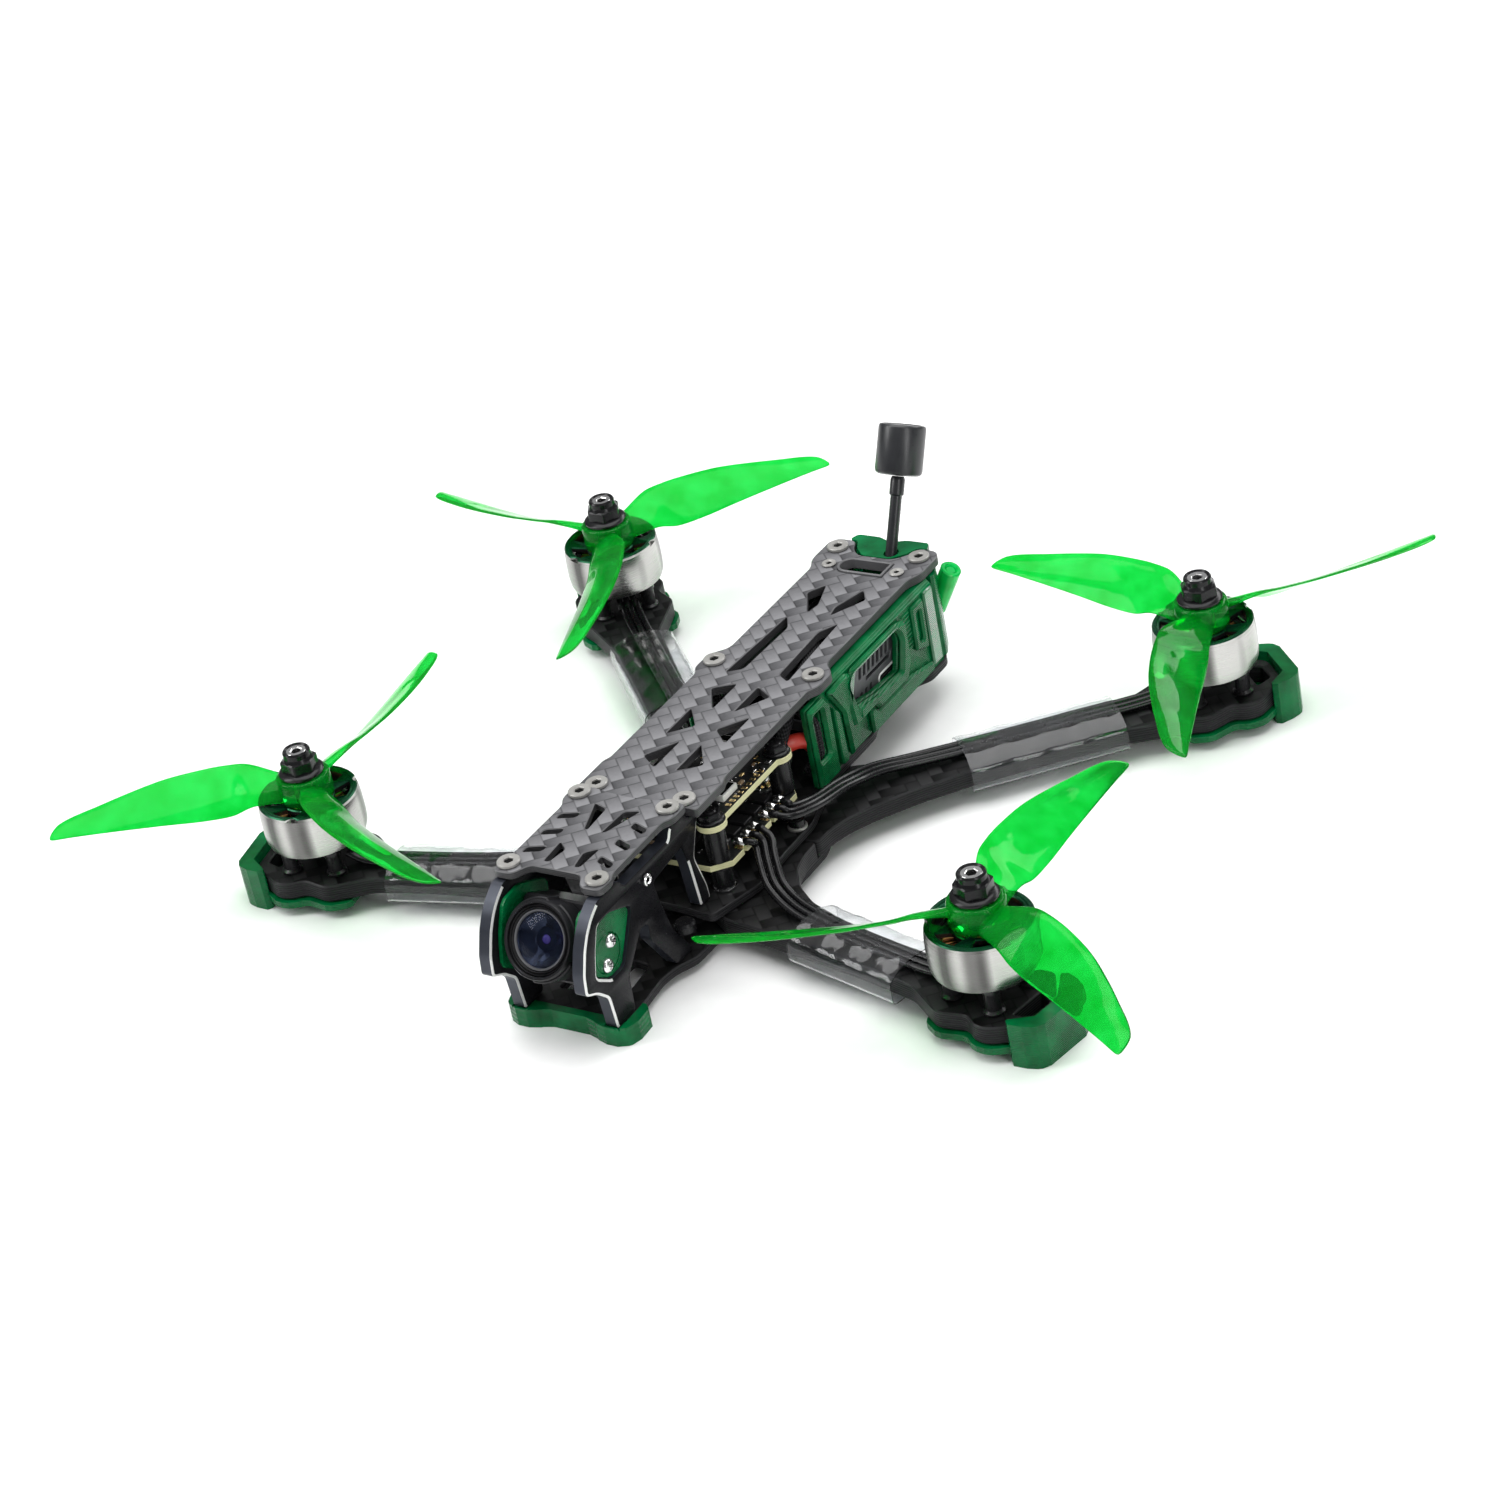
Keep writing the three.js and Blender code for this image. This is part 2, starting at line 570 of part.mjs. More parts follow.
// thin clear sleeve around one arm and its wires
function sleeve(motor, from, to, halfWidths, side) {
  const film = 0.35;
  const ring = (width, low, high) => {
    const angle = degrees(motor.armAngle);
    const corners = [[-width[0], low], [width[1], low], [width[1] - 0.6, high], [-width[0] + 0.6, high]];
    return ([x, y]) => corners.map(([across, z]) => [
      side * (x - across * Math.sin(angle)), y + across * Math.cos(angle), z,
    ]);
  };
  const outer = ring(halfWidths.map((w) => w + film), ARM_BOTTOM - GAP - film, 10.6);
  const inner = ring(halfWidths, ARM_BOTTOM - GAP, 10.2);
  const beyond = (a, b) => a.map((v, i) => v + (v - b[i]) * 0.05);
  return cut(loft([outer(from), outer(to)]), loft([inner(beyond(from, to)), inner(beyond(to, from))]));
}

// ---- motors and propellers ----

function motorBase() {
  const stator = turned([
    [SHAFT_RADIUS + 0.6, 11.5], [5.2, 11.5], [5.2, 15.6], [STATOR_RADIUS, 15.6],
    [STATOR_RADIUS, 22.8], [SHAFT_RADIUS + 0.6, 22.8], [SHAFT_RADIUS + 0.6, 11.5],
  ], 12);
  const legs = [45, 135, 225, 315].map((angle) => join(
    block([3.6, -1.8, 11.8], [LEG_OFFSET * Math.SQRT2 + 1.6, 1.8, 14.3]),
    disc(2.2, MIDDLE_BOTTOM, 14.3, 6).translate(LEG_OFFSET * Math.SQRT2, 0, 0),
  ).rotateZ(degrees(angle)));
  return join(stator, ...legs);
}

// the turning outer can with its shaft, open below and cut by six windows on top
function motorBell() {
  const can = turned([
    [0, 24], [11.3, 24], [11.3, BELL_BOTTOM], [12.2, BELL_BOTTOM], [BELL_RADIUS, 16.4],
    [BELL_RADIUS, 22.5], [12.4, BELL_TOP], [11.4, BELL_TOP], [7.5, 25.4], [0, 25.4],
  ], 20);
  const shaft = disc(SHAFT_RADIUS, 12, NUT_TOP - 3, 12);
  const windows = [0, 60, 120, 180, 240, 300].map((angle) => block([6, -2.6, 22], [10.4, 2.6, 28])
    .rotateZ(degrees(angle)));
  return join(cut(can, ...windows), shaft);
}

// blade stations: radius, leading edge, trailing edge, pitch in degrees, height of the pitch line
const BLADE_STATIONS = [
  [5.6, 4.2, -3.2, 28, 31],
  [13.5, 8.2, -2.6, 30, 31],
  [19, 9.5, -2.3, 34, 29.9],
  [27, 10.3, -1.9, 32, 29.3],
  [36, 10.2, -1.3, 29, 29.2],
  [45, 9, -0.9, 25, 29.2],
  [53, 7.4, -0.6, 21, 29.2],
  [59, 6, -0.4, 18, 29.2],
  [62.6, 4.4, -0.3, 17, 29.2],
  [PROP_RADIUS, 0.6, -0.2, 16, 29.2],
];
const PITCH_LINE = 4;
const BLADE_THICKNESS = 1.3;

function blade(spin) {
  const rings = BLADE_STATIONS.map(([radius, lead, trail, pitch, height]) => {
    const slope = Math.tan(degrees(pitch));
    const z = (across) => height + (across - PITCH_LINE) * slope;
    const middle = (lead + trail) / 2;
    const thickness = BLADE_THICKNESS * (1 - 0.5 * radius / PROP_RADIUS);
    const camber = 0.06 * (lead - trail);
    return [
      [radius, spin * lead, z(lead)],
      [radius, spin * middle, z(middle) + camber + thickness / 2],
      [radius, spin * trail, z(trail)],
      [radius, spin * middle, z(middle) + camber - thickness / 2],
    ];
  });
  return loft(rings);
}

function propeller(spin) {
  const low = PROP_Z - HUB_HEIGHT / 2;
  const high = PROP_Z + HUB_HEIGHT / 2;
  const hub = disc(HUB_RADIUS, low, high, 18);
  const bore = disc(SHAFT_RADIUS + GAP, low - 1, high + 1, 12);
  const blades = Array.from({ length: BLADES }, (_, i) => blade(spin)
    .rotateZ(2 * Math.PI * i / BLADES));
  return cut(join(hub, ...blades), bore);
}

function propNut() {
  const bottom = PROP_Z + HUB_HEIGHT / 2 + GAP;
  const flange = disc(5.7, bottom, bottom + 1, 16);
  const hexagon = disc(4.6, bottom, 36.6, 6);
  const collar = disc(3.2, bottom, NUT_TOP, 16);
  const bore = disc(SHAFT_RADIUS + 0.2, bottom - 1, NUT_TOP - 2.4, 12);
  const socket = disc(1.5, NUT_TOP - 1.6, NUT_TOP + 1, 6);
  return cut(join(flange, hexagon, collar), bore, socket);
}

// ---- camera, in its own frame: lens along -Y, turned up about the pivot ----

const LENS_OFFSET = 1.2;
const tiltCamera = (geometry) => geometry.rotateX(-degrees(CAMERA_TILT))
  .translate(0, ...CAMERA_PIVOT);

function cameraBody() {
  const housing = block([-CAMERA_HALF, -2.5, LENS_OFFSET - 9.5], [CAMERA_HALF, 9, LENS_OFFSET + 9.5]);
  const ring = turned([[0, 0], [10, 0], [10, 6.4], [8.8, 6.4], [7, 4.8], [7, 1.6], [0, 1.6]], 24)
    .rotateX(Math.PI / 2).translate(0, -2.4, LENS_OFFSET);
  const trunnions = [1, -1].map((side) => join(
    disc(TRUNNION_RADIUS, 0, CAGE_OUTER - 1 - CAMERA_HALF + 0.5, 20),
    ...[2.9, -2.9].map((z) => disc(1.8, 3, CAGE_OUTER - CAMERA_HALF + 0.8, 10).translate(z, 0, 0)),
  ).rotateY(side * Math.PI / 2).translate(side * (CAMERA_HALF - 0.5), 0, 0));
  return tiltCamera(join(housing, ring, ...trunnions));
}

function cameraLens() {
  const dome = turned([[0, 2], [6.6, 2], [6.6, 4.6], [5, 5.6], [2.6, 6.2], [0, 6.4]], 20);
  return tiltCamera(dome.rotateX(Math.PI / 2).translate(0, -2.4, LENS_OFFSET));
}

// ---- assembly ----

addPart('bottom_plate', bottomPlate(), carbonBlack);
addPart('middle_plate', middlePlate(), carbonBlack);
addPart('top_plate', topPlate(), carbonGrey);
addPart('front_top_plate', frontTopPlate(), carbonGrey);
addPart('front_bumper', bumper(), greenPrint);
addPart('rear_cap', rearCap(), greenPrint);
addPart('receiver_tube', placeTube(disc(TUBE_RADIUS, 0, TUBE_LENGTH, 16)), greenPrint);
addPart('video_unit', videoUnit(), videoGrey);
addPart('speed_controller', speedController(), boardBlack);
addPart('flight_controller', flightController(), boardBlack);
addPart('capacitor', disc(4.4, -9, 9, 16).rotateY(Math.PI / 2).translate(0, -8, 19), blackPlastic);
addPart('lead_grommet', leadGrommet(), silver);
addPart('power_lead_red', powerLead(1), wireRed);
addPart('power_lead_black', powerLead(-1), wireBlack);
addPart('antenna_stem', leanBack(disc(1.5, -7, 19.4, 10)), wireBlack);
addPart('antenna_head', leanBack(disc(6.15, 19.7, 32.7, 24)), blackPlastic);
addPart('camera_body', cameraBody(), blackPlastic);
addPart('camera_lens', cameraLens(), glass);

for (const [label, side] of [['left', -1], ['right', 1]]) {
  addPart(`cage_side_${label}`, cageSide(side), anodised);
  addPart(`camera_cradle_${label}`, cradle(side), greenPrint);
  addPart(`side_panel_${label}`, sidePanel(side), greenPrint);
  addPart(`rear_post_${label}`, post(side * REAR_POST[0], REAR_POST[1], 2.6), silver);
  addPart(`ear_post_${label}`, post(side * EAR_POST[0], EAR_POST[1], 2.2), silver);
}

const CORNERS = [
  { name: 'front_left', motor: FRONT_MOTOR, side: -1, spin: -1, phase: 96.9 },
  { name: 'front_right', motor: FRONT_MOTOR, side: 1, spin: 1, phase: 84.7 },
  { name: 'rear_left', motor: REAR_MOTOR, side: -1, spin: 1, phase: 50.5 },
  { name: 'rear_right', motor: REAR_MOTOR, side: 1, spin: -1, phase: 51.7 },
];

for (const { name, motor, side, spin, phase } of CORNERS) {
  const isFront = motor === FRONT_MOTOR;
  const route = isFront ? FRONT_WIRE_ROUTE : REAR_WIRE_ROUTE;
  const before = isFront ? FRONT_ROOT_BEFORE : REAR_ROOT_BEFORE;
  const after = isFront ? FRONT_ROOT_AFTER : REAR_ROOT_AFTER;
  const [sleeveFrom, sleeveTo, sleeveWidths] = isFront
    ? [[42, -55.6], [74, -63.2], [8.2, 8.2]]
    : [[42, 19.5], [71, 47.5], [8.6, 8.6]];
  addPart(`arm_${name}`, arm(motor, before, after, side), carbonBlack);
  addPart(`arm_guard_${name}`, armGuard(motor, side), greenPrint);
  addPart(`wires_${name}`, wireBundle(route.map(([x, y, z]) => [side * x, y, z])), wireBlack);
  addPart(`sleeve_${name}`, sleeve(motor, sleeveFrom, sleeveTo, sleeveWidths, side), clearFilm);

  const turn = side > 0 ? motor.armAngle : 180 - motor.armAngle;
  const atCentre = (geometry, angle) => geometry.rotateZ(degrees(angle))
    .translate(side * motor.x, motor.y, 0);
  addPart(`motor_base_${name}`, atCentre(motorBase(), turn), blackSteel);
  addPart(`motor_bell_${name}`, atCentre(motorBell(), 0), silver);
  addPart(`propeller_${name}`, atCentre(propeller(spin), phase), greenBlade);
  addPart(`prop_nut_${name}`, atCentre(propNut(), 0), blackSteel);
}

export default drone;
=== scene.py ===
"""Looks of the quadcopter drone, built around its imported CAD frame. Sizes in the tables are millimetres."""

import math
import random

import bmesh
import bpy
from mathutils import Matrix, Vector
from mathutils.geometry import tessellate_polygon


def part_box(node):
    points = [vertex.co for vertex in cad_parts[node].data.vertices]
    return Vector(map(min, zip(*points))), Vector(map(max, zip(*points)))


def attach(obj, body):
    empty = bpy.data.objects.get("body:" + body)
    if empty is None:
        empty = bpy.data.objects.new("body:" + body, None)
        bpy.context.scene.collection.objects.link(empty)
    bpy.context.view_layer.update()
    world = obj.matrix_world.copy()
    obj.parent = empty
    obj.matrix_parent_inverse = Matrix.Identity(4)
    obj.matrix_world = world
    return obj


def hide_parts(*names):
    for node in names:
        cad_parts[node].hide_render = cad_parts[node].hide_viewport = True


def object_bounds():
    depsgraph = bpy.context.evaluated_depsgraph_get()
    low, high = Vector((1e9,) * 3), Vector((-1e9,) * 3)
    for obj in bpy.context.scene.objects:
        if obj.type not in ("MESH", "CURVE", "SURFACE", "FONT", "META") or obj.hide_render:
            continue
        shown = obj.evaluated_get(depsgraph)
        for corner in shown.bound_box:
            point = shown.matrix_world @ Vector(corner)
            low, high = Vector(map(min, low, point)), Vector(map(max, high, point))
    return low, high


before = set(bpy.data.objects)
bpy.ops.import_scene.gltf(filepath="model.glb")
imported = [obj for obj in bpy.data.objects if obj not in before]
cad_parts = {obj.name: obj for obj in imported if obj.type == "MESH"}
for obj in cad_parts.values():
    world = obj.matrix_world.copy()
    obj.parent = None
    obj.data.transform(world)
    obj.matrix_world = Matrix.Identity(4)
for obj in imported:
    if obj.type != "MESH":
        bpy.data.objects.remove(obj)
cad_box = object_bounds()
MM = 0.001

# ---- camera and light ----


def linked(name, data):
    """A new object in the scene."""
    thing = bpy.data.objects.new(name, data)
    bpy.context.scene.collection.objects.link(thing)
    return thing


def photo_camera():
    """The camera of the photograph: 37 degrees to the side of the nose, 31 degrees up, rolled 12 degrees."""
    azimuth, elevation, roll = (math.radians(a) for a in (36.901, 30.830, -11.568))
    target, distance = Vector((0.0192254, -0.0350057, 0.0395)), 0.88
    back = Vector(
        (math.sin(azimuth) * math.cos(elevation), -math.cos(azimuth) * math.cos(elevation),
        math.sin(elevation)))
    level = Vector((math.cos(azimuth), math.sin(azimuth), 0))
    upright = back.cross(level)
    right = math.cos(roll) * level + math.sin(roll) * upright
    up = math.cos(roll) * upright - math.sin(roll) * level
    data = bpy.data.cameras.new("photo_camera")
    data.sensor_width, data.lens = 36, 89.62
    data.clip_start, data.clip_end = 0.05, 20
    camera = linked("photo_camera", data)
    camera.matrix_world = Matrix.Translation(
        target + distance * back) @ Matrix((right, up, back)).transposed().to_4x4()
    bpy.context.scene.camera = camera


def softbox(name, place, size, power):
    """A rectangular lamp that faces the middle of the craft."""
    data = bpy.data.lights.new(name, "AREA")
    data.shape = "RECTANGLE"
    data.size, data.size_y = size
    data.energy = power
    light = linked(name, data)
    light.location = place
    light.rotation_mode = "QUATERNION"
    light.rotation_quaternion = (-Vector(place)).to_track_quat("-Z", "Y")


def studio():
    """Four softboxes, and a sky that darkens towards the horizon."""
    scene = bpy.context.scene
    scene.view_settings.view_transform = "Standard"
    scene.world = bpy.data.worlds.new("studio")
    scene.world.use_nodes = True
    tree = scene.world.node_tree
    background = tree.nodes["Background"]
    coordinates, split, ramp = (
        tree.nodes.new(f"ShaderNode{kind}") for kind in ("TexCoord", "SeparateXYZ", "ValToRGB"))
    tree.links.new(coordinates.outputs["Generated"], split.inputs[0])
    tree.links.new(split.outputs["Z"], ramp.inputs[0])
    tree.links.new(ramp.outputs["Color"], background.inputs["Color"])
    horizon, zenith = ramp.color_ramp.elements
    horizon.position, horizon.color = 0.0, (0.16, 0.165, 0.18, 1)
    zenith.position, zenith.color = 0.8, (1, 1, 1, 1)
    background.inputs["Strength"].default_value = 0.45
    softbox("top", (-0.1, 0.2, 1.5), (1.6, 1.6), 27)
    softbox("key", (-0.9, -0.6, 0.9), (0.5, 0.9), 9)
    softbox("fill", (1.0, -0.5, 0.5), (0.25, 0.9), 4)
    softbox("rim", (0.3, 1.1, 0.7), (1.2, 0.3), 6)


# ---- materials ----


# short names for two of the shader's sockets
SOCKETS = {"specular": "Specular IOR Level", "transmission": "Transmission Weight"}


class Value:
    """What a node puts out, for use in sums."""

    def __init__(self, look, socket):
        self.look, self.socket = look, socket

    def __add__(self, other):
        return self.look.math("ADD", self, other)

    def __sub__(self, other):
        return self.look.math("SUBTRACT", self, other)

    def __rsub__(self, other):
        return self.look.math("SUBTRACT", other, self)

    def __mul__(self, other):
        return self.look.math("MULTIPLY", self, other)

    def __truediv__(self, other):
        return self.look.math("DIVIDE", self, other)

    def __mod__(self, other):
        return self.look.math("FLOORED_MODULO", self, other)

    def __lt__(self, other):
        return self.look.math("LESS_THAN", self, other)


class Look:
    """A material: its Principled shader, and short ways to add nodes. Points are object coordinates in mm."""

    def __init__(self, name, **values):
        self.material = bpy.data.materials.new(name)
        self.material.use_nodes = True
        self.tree = self.material.node_tree
        self.shader = self.tree.nodes["Principled BSDF"]
        for name, value in values.items():
            socket = self.shader.inputs[SOCKETS.get(name, name.replace("_", " "))]
            socket.default_value = (*value, 1) if isinstance(value, tuple) else value
        self.coordinates = self.node("TexCoord")
        self.point = self.vector("SCALE", self.coordinates.outputs["Object"], scale=1000)

    def node(self, kind):
        return self.tree.nodes.new("ShaderNode" + kind)

    def feed(self, socket, value):
        if isinstance(value, Value):
            value = value.socket
        if isinstance(value, bpy.types.NodeSocket):
            self.tree.links.new(value, socket)
        else:
            socket.default_value = value

    def vector(self, operation, first, second=None, scale=None):
        node = self.node("VectorMath")
        node.operation = operation
        self.feed(node.inputs[0], first)
        if second is not None:
            self.feed(node.inputs[1], second)
        if scale is not None:
            node.inputs["Scale"].default_value = scale
        return node.outputs["Vector"]

    def math(self, operation, *values):
        node = self.node("Math")
        node.operation = operation
        for socket, value in zip(node.inputs, (*values, 0.0, 0.0)):
            self.feed(socket, value)
        return Value(self, node.outputs[0])

    def axes(self):
        node = self.node("SeparateXYZ")
        self.feed(node.inputs[0], self.point)
        return [Value(self, output) for output in node.outputs]

    def noise(self, scale, stretch=(1, 1, 1), detail=3.0, point=None):
        node = self.node("TexNoise")
        self.feed(node.inputs["Vector"], self.vector("MULTIPLY", point or self.point, stretch))
        node.inputs["Scale"].default_value = scale
        node.inputs["Detail"].default_value = detail
        return Value(self, node.outputs["Fac"])

    def spread(self, value, low, high, start=0.0, end=1.0):
        node = self.node("MapRange")
        for socket, number in zip(node.inputs, (value, start, end, low, high)):
            self.feed(socket, number)
        return Value(self, node.outputs[0])

    def mix(self, share, first, second):
        node = self.node("Mix")
        node.data_type = "RGBA"
        self.feed(node.inputs[0], share)
        for socket, colour in ((node.inputs[6], first), (node.inputs[7], second)):
            self.feed(socket, (*colour, 1) if isinstance(colour, tuple) else colour)
        return Value(self, node.outputs[2])

    def bump(self, height, strength, distance):
        node = self.node("Bump")
        node.inputs["Strength"].default_value = strength
        node.inputs["Distance"].default_value = distance * MM
        self.feed(node.inputs["Height"], height)
        self.feed(self.shader.inputs["Normal"], node.outputs[0])

    def colour(self, value):
        self.feed(self.shader.inputs["Base Color"], value)

    def roughness(self, value):
        self.feed(self.shader.inputs["Roughness"], value)


TOW = 3.4  # width of a tow


def twill(name, dark, light, low, high, **values):
    """Satin 2x2 twill laminate, its tows at 45 degrees to the craft's length. Its colour holds a painted
    sheen that makes the tows of one direction lighter, painted shading along each tow, and painted shadow at
    the tow ends; the seams between tows are dark joints.
    """
    look = Look(name, **values)
    x, y, _ = look.axes()
    u, v = (x + y) / (TOW * math.sqrt(2)), (x - y) / (TOW * math.sqrt(2))
    along_u, along_v = (u + look.math("FLOOR", v)) % 4, (v + look.math("FLOOR", u)) % 4
    u_on_top = along_u < 2
    v_on_top = 1 - u_on_top
    run = along_u * u_on_top + (along_v - 2) * v_on_top
    across = look.math("FRACT", v) * u_on_top + look.math("FRACT", u) * v_on_top
    strands = look.noise(1.0, (0.9, 0.9, 0.9), 5.0)
    # painted sheen: tows of one direction are lighter; painted shading: a gradient along each tow's run; the
    # strand noise is the laminate's own tone
    painted_sheen_shading_and_tone = look.math("MULTIPLY_ADD", v_on_top, 0.34, run * 0.30) + look.spread(strands, -0.12, 0.12)
    tows = look.mix(look.math("MAXIMUM", painted_sheen_shading_and_tone, 0), dark, light)
    beside = look.math("MINIMUM", across, 1 - across)
    before = look.math("MINIMUM", run, 2 - run)
    # dark seams between neighbouring tows, and painted shadow at each tow's ends
    seam_and_painted_end_shadow = look.math("MAXIMUM", look.spread(beside, 0.5, 0, 0, 0.08), look.spread(before, 0.9, 0, 0, 0.13))
    look.colour(look.mix(seam_and_painted_end_shadow, tows, tuple(c * 0.35 for c in dark)))
    look.roughness(look.spread(look.noise(0.35), low, high))
    crown = look.math("SINE", run * (math.pi / 2))
    look.bump(crown + look.spread(beside, 0, 0.5, 0, 0.3), 0.22, 0.1)
    return look.material


def layered(name, dark, light, pitch, low, high, strength=0.4, **values):
    """Horizontal layers, as in a laminate's cut edge."""
    look = Look(name, **values)
    _, _, z = look.axes()
    wobble = look.spread(look.noise(0.2), -0.12, 0.12)
    wave = look.math("SINE", (z + wobble) * (2 * math.pi / pitch))
    streak = look.noise(0.5, (0.25, 0.25, 3.2), 4.0)
    look.colour(look.mix(look.math("MULTIPLY_ADD", wave, 0.22, streak), dark, light))
    look.roughness(look.spread(streak, low, high))
    look.bump(wave, strength, 0.05)
    return look.material


def grained(name, dark, light, scale, low, high, bump=0.1, **values):
    """A surface with soft clouds of colour, and fine grain in roughness and height."""
    look = Look(name, **values)
    grain = look.noise(scale, (1, 1, 1), 5.0)
    cloud = look.noise(0.12, (1, 1, 1), 2.0)
    look.colour(look.mix(look.spread(cloud, 0, 1, 0.3, 0.7), dark, light))
    look.roughness(look.spread(grain, low, high, 0.25, 0.75))
    look.bump(grain, bump, 0.05)
    return look.material


def circuit(name):
    """Black solder mask over copper tracks, which run across in some patches and along in the others."""
    look = Look(name, specular=0.4)
    x, y, _ = look.axes()
    across, along = (look.math("FRACT", axis * 1.15) < 0.42 for axis in (x, y))
    patches = look.math("GREATER_THAN", look.noise(0.32, (1, 0.25, 1), 1.0), 0.52)
    copper = across * patches + along * (1 - patches)
    look.colour(look.mix(copper, (0.004, 0.005, 0.005), (0.013, 0.015, 0.014)))
    look.roughness(look.spread(copper, 0.3, 0.42))
    look.bump(copper, 0.3, 0.03)
    return look.material


def wound(name):
    """Enamelled copper wire, wound turn beside turn; its colour has painted shading in the grooves between
    turns and a painted highlight on each crest.
    """
    look = Look(name, Metallic=0.9)
    _, _, z = look.axes()
    turns = look.math("SINE", z * (2 * math.pi / 0.75))
    # painted shading and highlight: the copper colour follows the wave of the turns, dark in the grooves and
    # light on the crests
    look.colour(look.mix(look.spread(turns, 0, 1, -1, 1), (0.25, 0.07, 0.02), (0.80, 0.36, 0.14)))
    look.roughness(look.spread(look.noise(1.0), 0.22, 0.4))
    look.bump(turns, 0.6, 0.12)
    return look.material


def braid(name):
    """Woven black sleeve, with painted shading in the hollows of the weave and a painted sheen on its raised
    strands.
    """
    look = Look(name, specular=0.12)
    x, y, z = look.axes()
    around, rise = (x + y) * 3.2, z * 4.4
    height = look.math("SINE", around + rise) * look.math("SINE", around - rise)
    # painted shading and sheen: the colour follows the weave's height, darkest in its hollows
    look.colour(look.mix(look.spread(height, 0, 1, -1, 1), (0.0005, 0.0005, 0.0006), (0.045, 0.045, 0.048)))
    look.roughness(look.spread(height, 0.35, 0.6, -1, 1))
    look.bump(height, 0.8, 0.2)
    return look.material


def clear(name, dark, light, low, high, layers=0.0, **values):
    """Coloured see-through plastic with faint flow marks, and printed layers where they are asked for."""
    look = Look(name, **values)
    flow = look.noise(0.16, (1, 1, 1), 2.0)
    look.colour(look.mix(look.spread(flow, 0, 1, 0.3, 0.7), dark, light))
    look.roughness(look.spread(look.noise(0.5), low, high))
    if layers:
        _, _, z = look.axes()
        look.bump(look.math("SINE", z * (2 * math.pi / layers)), 0.5, 0.06)
    else:
        look.bump(flow, 0.04, 0.1)
    return look.material


def brushed(name):
    """Turned satin metal: fine rings round a vertical axis, and soft painted reflections that darken the
    surface by the way it faces.
    """
    look = Look(name, Metallic=1.0, Anisotropic=0.35)
    rings = look.noise(1.0, (0.05, 0.05, 9.0), 5.0)
    # painted reflections: soft dark streaks set by the direction the surface faces, standing in for the
    # studio's reflections
    painted_reflection_bands = look.noise(1.7, (1, 1, 0.1), 1.0, look.coordinates.outputs["Normal"])
    satin = look.mix(rings, (0.42, 0.415, 0.40), (0.56, 0.555, 0.54))
    look.colour(look.mix(look.spread(painted_reflection_bands, 0, 1, 0.36, 0.56), (0.10, 0.098, 0.095), satin))
    look.roughness(look.spread(rings, 0.2, 0.34))
    look.bump(rings, 0.05, 0.03)
    return look.material


